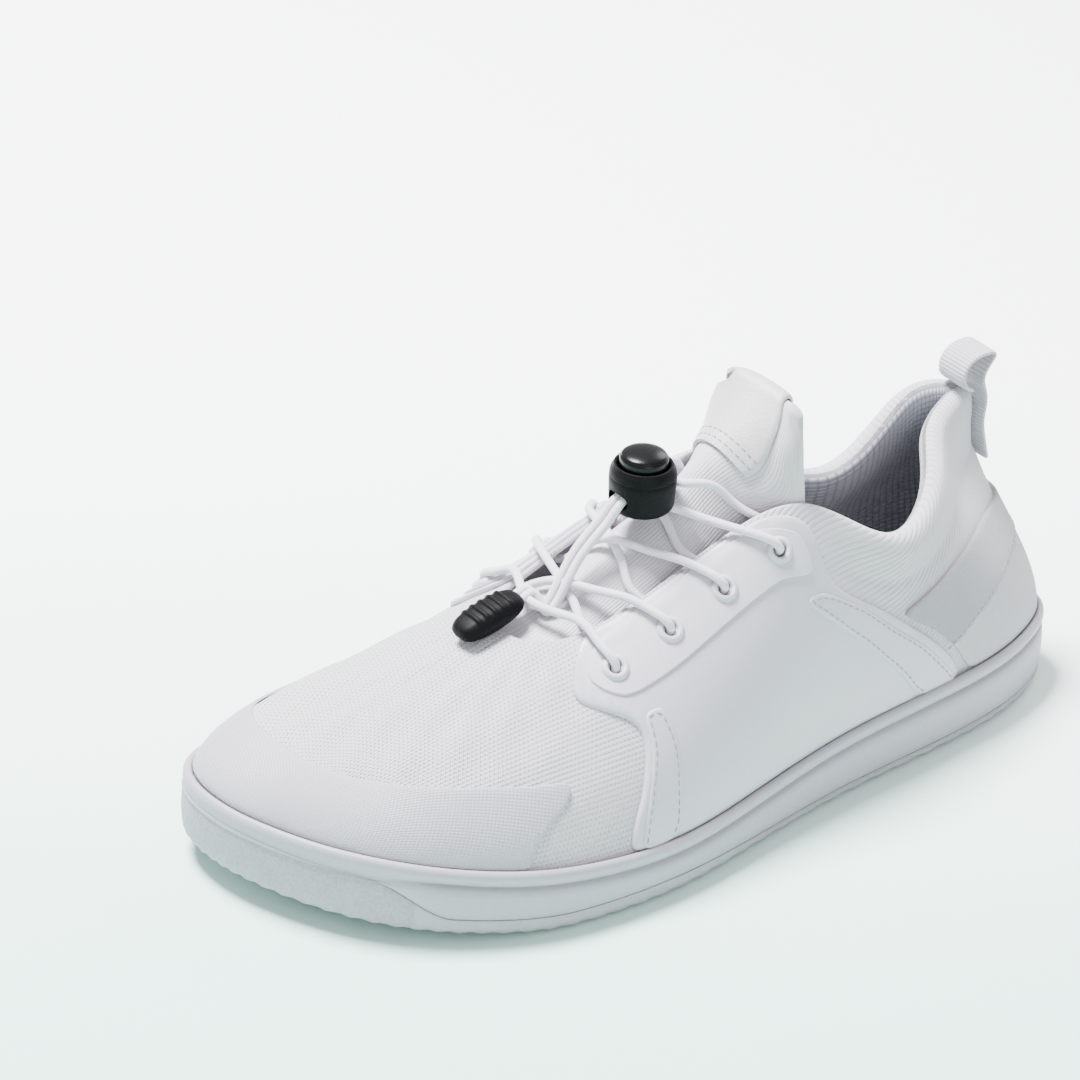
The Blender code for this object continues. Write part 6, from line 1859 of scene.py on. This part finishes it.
@dataclass
class Lace:
    """Elastic lace: its laced run and the two free strands to the clip."""

    last: Last
    pitch: float = 1.0 * MM
    lead: float = 0.55

    @staticmethod
    def side(station: float, mirror: bool) -> np.ndarray:
        """Station on either side."""
        return np.array(float(COUNT - station if mirror else station))

    def under(self, station: float, share: float, mirror: bool, depth: float = 0.0) -> np.ndarray:
        """Lace centre between the upper's inner face and the tongue."""
        room = depth or UPPER_WALL + TONGUE_LACE_ROOM / 2 + SEAM_GAP / 2
        return self.last.on_wall(self.side(station, mirror), np.array(share), np.array(-room))

    def over(self, station: float, share: float, mirror: bool, lift: float = 0.0) -> np.ndarray:
        """Lace centre on the eyestay."""
        height = (OVERLAY_GAP + SEAM_GAP + PANEL_THICKNESS + PLATE_STEP + EYELET_HEIGHT * 0.4
                  + LACE_DIAMETER / 2 + lift)
        return self.last.on_wall(self.side(station, mirror), np.array(share), np.array(height))

    def strand(self, number: int, from_medial: bool) -> list:
        """From under one eyestay across the tongue to the next eyelet of the other side."""
        first, second = EYELETS[number - 1], EYELETS[number]
        height = LACE_LOW + (LACE_DIAMETER * 0.9 if from_medial else 0)
        near, far = (0.795, 0.24) if from_medial else (0.22, 0.76)
        lift = (height - LACE_LOW) / 2
        at = self.last.tongue_at
        start, end = first.station + 0.16, second.station + self.lead
        middle = (start + end) / 2
        return [self.under(start - 0.04, 0.93, from_medial),
                at(start, near, LACE_LOW),
                at((start + middle) / 2, (near + 0.5) / 2, LACE_LOW + lift),
                *self.taut(at(middle, 0.5, height + 0.3 * MM), second, not from_medial, (middle + end) / 2,
                           (far + 0.5) / 2),
                *self.landing(second, not from_medial)]

    def taut(self, crest: np.ndarray, edge: Edge, mirror: bool, station: float, across: float) -> list:
        """Crest of a strand and its straight way to the eyestay, kept over the tongue."""
        middle = (crest + self.landing(edge, mirror)[0]) / 2
        middle[2] = max(middle[2], self.last.tongue_at(station, across, LACE_LOW + 0.2 * MM)[2])
        return [crest, middle]

    def landing(self, edge: Edge, mirror: bool) -> list:
        """Over the eyestay's edge and straight to an eyelet."""
        middle = (0.985 + edge.share) / 2 + 0.012
        return [self.over(edge.station + self.lead * 0.95, 0.990, mirror, -0.55 * MM),
                self.over(edge.station + self.lead * 0.48, middle, mirror, -0.40 * MM),
                self.over(edge.station + 0.06, edge.share + 0.028, mirror, -0.35 * MM)]

    def hole(self, number: int, mirror: bool) -> list:
        """Down through one eyelet and under the eyestay."""
        edge = EYELETS[number - 1]
        return [self.over(edge.station, edge.share + 0.002, mirror, -1.9 * MM),
                self.under(edge.station, edge.share, mirror, 0.8 * MM),
                self.under(edge.station - 0.03, edge.share + 0.022, mirror, 3.9 * MM)]

    def half_run(self, mirror: bool) -> list:
        """From the bar's middle through all eyelets of one strand to its last underside."""
        route = self.landing(EYELETS[0], mirror)
        here = mirror
        for number in (1, 2, 3):
            route += self.hole(number, here)
            route += self.strand(number, here)
            here = not here
        route += self.hole(4, here)
        return route

    def build_run(self, wardrobe: Wardrobe) -> bpy.types.Object:
        """Bar, crossings and their runs under the eyestays as one lace."""
        first = EYELETS[0]
        bar = self.last.tongue_at(first.station + self.lead, 0.5, LACE_LOW + LACE_DIAMETER * 1.7)
        ends = [self.taut(bar, first, mirror, first.station + self.lead, 0.76 if mirror else 0.24)[1]
                for mirror in (True, False)]
        route = self.half_run(True)[::-1] + [ends[0], bar, ends[1]] + self.half_run(False)
        path = smooth_route(route, self.pitch)
        LOG.info("laced run of %.0f mm", run(path)[-1] / MM)
        laced = tube("lace_run", path, LACE_DIAMETER, wardrobe["lace"])
        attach(laced, "root")
        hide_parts("lace_bar", "lace_cross_1", "lace_cross_2", "lace_cross_3")
        return laced

    def free_route(self, mirror: bool, seat: np.ndarray, clip: "Clip") -> np.ndarray:
        """From under the last eyelet through the lock into the clip."""
        at = self.last.tongue_at
        last = EYELETS[-1]
        sign = -1 if mirror else 1
        near = 0.80 if mirror else 0.20
        hold = sign * (LACE_DIAMETER + SEAM_GAP) / 2
        rise = LOCK_HEIGHT * 0.32
        aside = sign * (LACE_DIAMETER + SEAM_GAP * 2) / 2
        centre, back, across, _ = clip.frame(self.last)
        end = centre + back * (CLIP_LENGTH / 2 + SEAM_GAP * 2)
        shift = np.array([0, aside, 0])
        route = [self.under(last.station - 0.05, 0.95, mirror),
                 at(last.station - 0.03, near, LACE_LOW),
                 at(last.station + 0.05, 0.5 + (near - 0.5) * 0.50, LACE_LOW + 2.4 * MM),
                 at(last.station + 0.30, 0.5 + (near - 0.5) * 0.16, LACE_LOW + 4.2 * MM)]
        route += [seat + np.array([ahead, hold, rise]) for ahead in
                  (-LOCK_DIAMETER * 0.62, -LOCK_DIAMETER * 0.35, 0.0, LOCK_DIAMETER * 0.38)]
        lace_top = LACE_LOW + LACE_DIAMETER * 1.75 + SEAM_GAP
        leave, rest = route[-1], at(8.45, 0.5, LACE_LOW + 0.3 * MM) + shift
        for station in (7.15, 7.80):
            point = at(station, 0.5, lace_top + 0.2 * MM) + shift
            straight = leave[2] + (rest[2] - leave[2]) * (point[0] - leave[0]) / (rest[0] - leave[0])
            point[2] = max(point[2], straight)
            route.append(point)
        mouth = end + across * aside
        route += [rest, mouth + back * 3.0 * MM, mouth, end + across * aside * 0.98 - back * 2 * MM]
        return smooth_route(route, self.pitch)

    def build_free(self, mirror: bool, seat: np.ndarray, clip: "Clip",
                   wardrobe: Wardrobe) -> bpy.types.Object:
        """One free strand.

        Args:
            mirror: Whether it leaves the medial side.
            seat: Underside of the cord lock.
            clip: The clip at its end.
            wardrobe: Finishes.

        Returns:
            The strand.
        """
        side = "medial" if mirror else "lateral"
        route = self.free_route(mirror, seat, clip)
        strand = tube("lace_free_" + side, route, LACE_DIAMETER, wardrobe["lace"])
        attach(strand, "root")
        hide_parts("lace_to_lock_" + side, "lace_tail_" + side)
        length = float(run(route)[-1])
        path = [tuple(p) for p in route[::2]] + [tuple(route[-1])]
        tuple(route[0])
        return strand


@dataclass
class CordLock:
    """Black barrel with a lace hole and a domed button."""

    sides: int = 96
    hole_height: float = LOCK_HEIGHT * 0.32

    def seat(self, last: Last) -> np.ndarray:
        """Centre of the lock's underside."""
        lift = LACE_LOW + LACE_DIAMETER * 0.75 + LACE_DIAMETER / 2 + SEAM_GAP * 7
        return last.tongue_at(LOCK_STATION, 0.5, lift)

    def revolved(self, name: str, centre: np.ndarray, profile: Sequence,
                 finish: bpy.types.Material) -> bpy.types.Object:
        """Turned piece about the vertical from radius and height pairs."""
        points = np.array([centre + np.array([radius * math.cos(a), radius * math.sin(a), height])
                           for radius, height in profile for a in circle(self.sides)])
        return make_piece(name, points, rod_faces(len(profile), self.sides), [finish], points[:, :2])

    def build(self, last: Last, wardrobe: Wardrobe) -> list:
        """Build barrel and button."""
        seat = self.seat(last)
        r, h = LOCK_DIAMETER / 2, LOCK_HEIGHT
        neck = LOCK_BUTTON_DIAMETER / 2
        barrel = [(r * 0.60, 0.0), (r * 0.80, 0.0), (r * 0.87, 0.15 * MM), (r * 0.93, 0.8 * MM)]
        barrel += [(r * wide, h * tall) for wide, tall in (
            (0.97, 0.14), (0.985, 0.35), (1, 0.58), (1, 0.68), (0.975, 0.705), (0.975, 0.73), (0.995, 0.75),
            (0.985, 0.80), (0.955, 0.86), (0.90, 0.92))]
        barrel += [(neck + gap * MM, h * tall) for gap, tall in (
            (1.5, 0.955), (1.0, 0.96), (0.6, 0.94), (0.35, 0.88), (0.3, 0.80))]
        body = self.with_hole(self.revolved("lock_barrel", seat, barrel, wardrobe["black_matt"]), seat)
        top = seat + np.array([0, 0, h * 0.80])
        rise = h * 0.20 + LOCK_BUTTON_RISE
        button = [(neck * 0.98, 0.0), (neck, 0.5 * MM), (neck, rise - 2.5 * MM),
                  (neck * 0.985, rise - 2.1 * MM), (neck * 0.95, rise - 1.75 * MM)]
        button += [(neck * 0.93 * math.cos(a), rise - 1.7 * MM + 1.7 * MM * math.sin(a))
                   for a in np.linspace(0.05, 1.54, 14)]
        knob = self.revolved("lock_button", top, button, wardrobe["black"])
        for piece, node in ((body, "cord_lock_body"), (knob, "cord_lock_button")):
            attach(piece, "root")
            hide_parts(node)
        return [body, knob]

    def with_hole(self, body: bpy.types.Object, seat: np.ndarray) -> bpy.types.Object:
        """Cut the oval lace hole along the shoe."""
        sides, half_wide, half_tall = 40, 4.3 * MM, 2.4 * MM
        points = [seat + np.array([x, squared(math.cos(a), 0.7) * half_wide,
                                   self.hole_height + squared(math.sin(a), 0.8) * half_tall])
                  for x in (-LOCK_DIAMETER, LOCK_DIAMETER) for a in circle(sides)]
        rod = make_piece("lock_hole_rod", np.array(points), rod_faces(2, sides), [body.data.materials[0]])
        plain = cut_out(body, rod)
        plain.data.set_sharp_from_angle(angle=CREASE)
        return plain


@dataclass
class Clip:
    """Rounded clip that joins the lace's ends, with ribs across its top."""

    ribs: int = 5
    rib_rise: float = 0.55 * MM
    rib_from: float = -0.30
    rib_to: float = 0.34

    def frame(self, last: Last) -> tuple:
        """Centre and the directions back, across and up."""
        station, share = np.array(13.7), np.array(0.985)
        normal = last.wall_normal(station, share)
        back = last.wall_point(station, share + 5e-3) - last.wall_point(station, share - 5e-3)
        back = back - normal * np.dot(back, normal)
        back[1] = 0
        back = unit(back)
        across = unit(np.cross(back, normal))
        up = np.cross(across, back)
        return last.wall_point(station, share) + up * (CLIP_HEIGHT / 2 + 0.5 * MM), back, across, up

    def build(self, last: Last, wardrobe: Wardrobe) -> bpy.types.Object:
        """Build the clip."""
        centre, back, across, up = self.frame(last)
        steps, sides = 110, 40
        points = []
        for i in range(steps + 1):
            t = -0.5 + i / steps
            end, dome = max(1 - abs(2 * t) ** 7, 0.0) ** 0.35, 1 - (2 * t) ** 2
            wide = max((0.80 + 0.20 * dome) * end, 0.12)
            tall = max((0.66 + 0.34 * dome) * end, 0.12)
            rib = 0.0
            if self.rib_from < t < self.rib_to:
                turn = (t - self.rib_from) / (self.rib_to - self.rib_from) * self.ribs
                rib = max(math.sin(turn * 2 * math.pi - math.pi / 2), 0.0) ** 0.6
            for a in circle(sides):
                y = squared(math.cos(a), 0.62) * CLIP_WIDTH / 2 * wide
                z = squared(math.sin(a), 0.75) * (CLIP_HEIGHT / 2) * tall
                if math.sin(a) > 0.25:
                    z += (rib - 0.6) * self.rib_rise * min(1.0, (math.sin(a) - 0.25) * 3)
                seam = -0.35 * MM if abs(math.sin(a)) < 0.09 else 0.0
                y += math.copysign(seam, y)
                points.append(centre + back * t * CLIP_LENGTH + across * y + up * z)
        points = np.array(points)
        clip = make_piece("end_clip", points, rod_faces(steps + 1, sides), [wardrobe["black_matt"]],
                          points[:, :2])
        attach(clip, "root")
        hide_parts("lace_end_clip")
        return clip


@dataclass
class Studio:
    """Camera at the photograph's angle, soft lights and a pale floor."""

    focal: float = 5290.0
    azimuth: float = 0.678
    elevation: float = 0.52167
    roll: float = 0.0532
    distance: float = 1.5694
    aim: tuple = (0.1426, 0.0, 0.045)
    slide_right: float = -0.034164
    slide_up: float = 0.029387
    sky: float = 1.05
    film: float = 36.0

    def axes(self) -> tuple:
        """Camera's right, up and backward directions."""
        d = np.array([math.sin(self.azimuth) * math.cos(self.elevation),
                      math.cos(self.azimuth) * math.cos(self.elevation), math.sin(self.elevation)])
        right = unit(np.cross(-d, (0.0, 0.0, 1.0)))
        up = np.cross(right, -d)
        c, s = math.cos(self.roll), math.sin(self.roll)
        return right * c + up * s, up * c - right * s, d

    def build(self, last: Last) -> None:
        """Place camera, lights and floor."""
        right, up, d = self.axes()
        target = np.array(self.aim) - last.shift
        place = target + d * self.distance + right * self.slide_right + up * self.slide_up
        data = bpy.data.cameras.new("camera")
        data.sensor_width = self.film
        data.lens = self.focal / PHOTO * self.film
        data.clip_end = 20
        camera = put("camera", data)
        turn = Matrix(np.column_stack([right, up, d]).tolist()).to_4x4()
        camera.matrix_world = Matrix.Translation(Vector(place)) @ turn
        bpy.context.scene.camera = camera
        self.floor(d)
        self.lights()

    def floor(self, d: np.ndarray) -> None:
        """Pale floor that runs from white behind to a faint mint in front."""
        mesh = bpy.data.meshes.new("floor")
        mesh.from_pydata([(-4, -4, 0), (4, -4, 0), (4, 4, 0), (-4, 4, 0)], [], [(0, 1, 2, 3)])
        kit = NodeKit("floor_paper")
        place = kit.node("ShaderNodeTexCoord")
        split = kit.node("ShaderNodeSeparateXYZ", None, {0: Value(kit, place.outputs["Object"])})
        flat = unit(np.array([d[0], d[1]]))
        toward = Value(kit, split.outputs[0]) * float(flat[0]) + Value(kit, split.outputs[1]) * float(flat[1])
        kit.feed(kit.shader.inputs["Base Color"],
                 kit.mix(toward.eased(-0.30, 0.24), (0.96, 0.98, 0.975, 1), (0.46, 0.74, 0.65, 1)))
        kit.shader.inputs["Roughness"].default_value = 0.9
        mesh.materials.append(kit.material)
        put("floor", mesh)

    def lights(self) -> None:
        """Large soft lamps and an even sky."""
        world = bpy.data.worlds.new("sky")
        world.use_nodes = True
        world.node_tree.nodes["Background"].inputs[0].default_value = (0.97, 0.98, 1.0, 1)
        world.node_tree.nodes["Background"].inputs[1].default_value = self.sky
        bpy.context.scene.world = world
        lamps = (("key", (0.25, -0.55, 1.55), 0.6, 170.0), ("fill", (0.5, 1.7, 0.8), 1.3, 16.0),
                 ("back", (-1.3, -0.5, 0.9), 0.8, 14.0))
        for name, place, size, power in lamps:
            data = bpy.data.lights.new(name, "AREA")
            data.shape = "DISK"
            data.size = size
            data.energy = power
            aim = Vector((0, 0, 0.04)) - Vector(place)
            turn = aim.to_track_quat("-Z", "Y").to_matrix().to_4x4()
            put(name, data).matrix_world = Matrix.Translation(place) @ turn


def main() -> None:
    """Build the shoe piece by piece and log each stage."""
    logging.basicConfig(level=logging.INFO, format="%(message)s")
    last = Last()
    wardrobe = Wardrobe()
    Studio().build(last)
    lock, clip = CordLock(), Clip()
    lace = Lace(last)
    parts = lock.build(last, wardrobe) + [clip.build(last, wardrobe)]
    seat = lock.seat(last)
    lace.build_free(False, seat, clip, wardrobe)
    lace.build_free(True, seat, clip, wardrobe)
    lace.build_run(wardrobe)
    LOG.info("lace, lock and clip built")
    sole = Sole()
    sole.build_cup(last, wardrobe)
    sole.build_outsole(last, wardrobe)
    sole.build_insole(last, wardrobe)
    Tread().build(last, wardrobe)
    LOG.info("sole built")
    Upper().build(last, wardrobe)
    LOG.info("upper built")
    for side, mirror in (("lateral", False), ("medial", True)):
        SidePanel(side, mirror).build(last, wardrobe)
        LOG.info("%s panel built", side)
    ToeCap().build(last, wardrobe)
    HeelCounter().build(last, wardrobe)
    Tongue().build(last, wardrobe)
    PullLoop().build(last, wardrobe)
    Eyelets().build(last, wardrobe)
    LOG.info("overlays, tongue, loop and eyelets built")


if __name__ == "__main__":
    main()
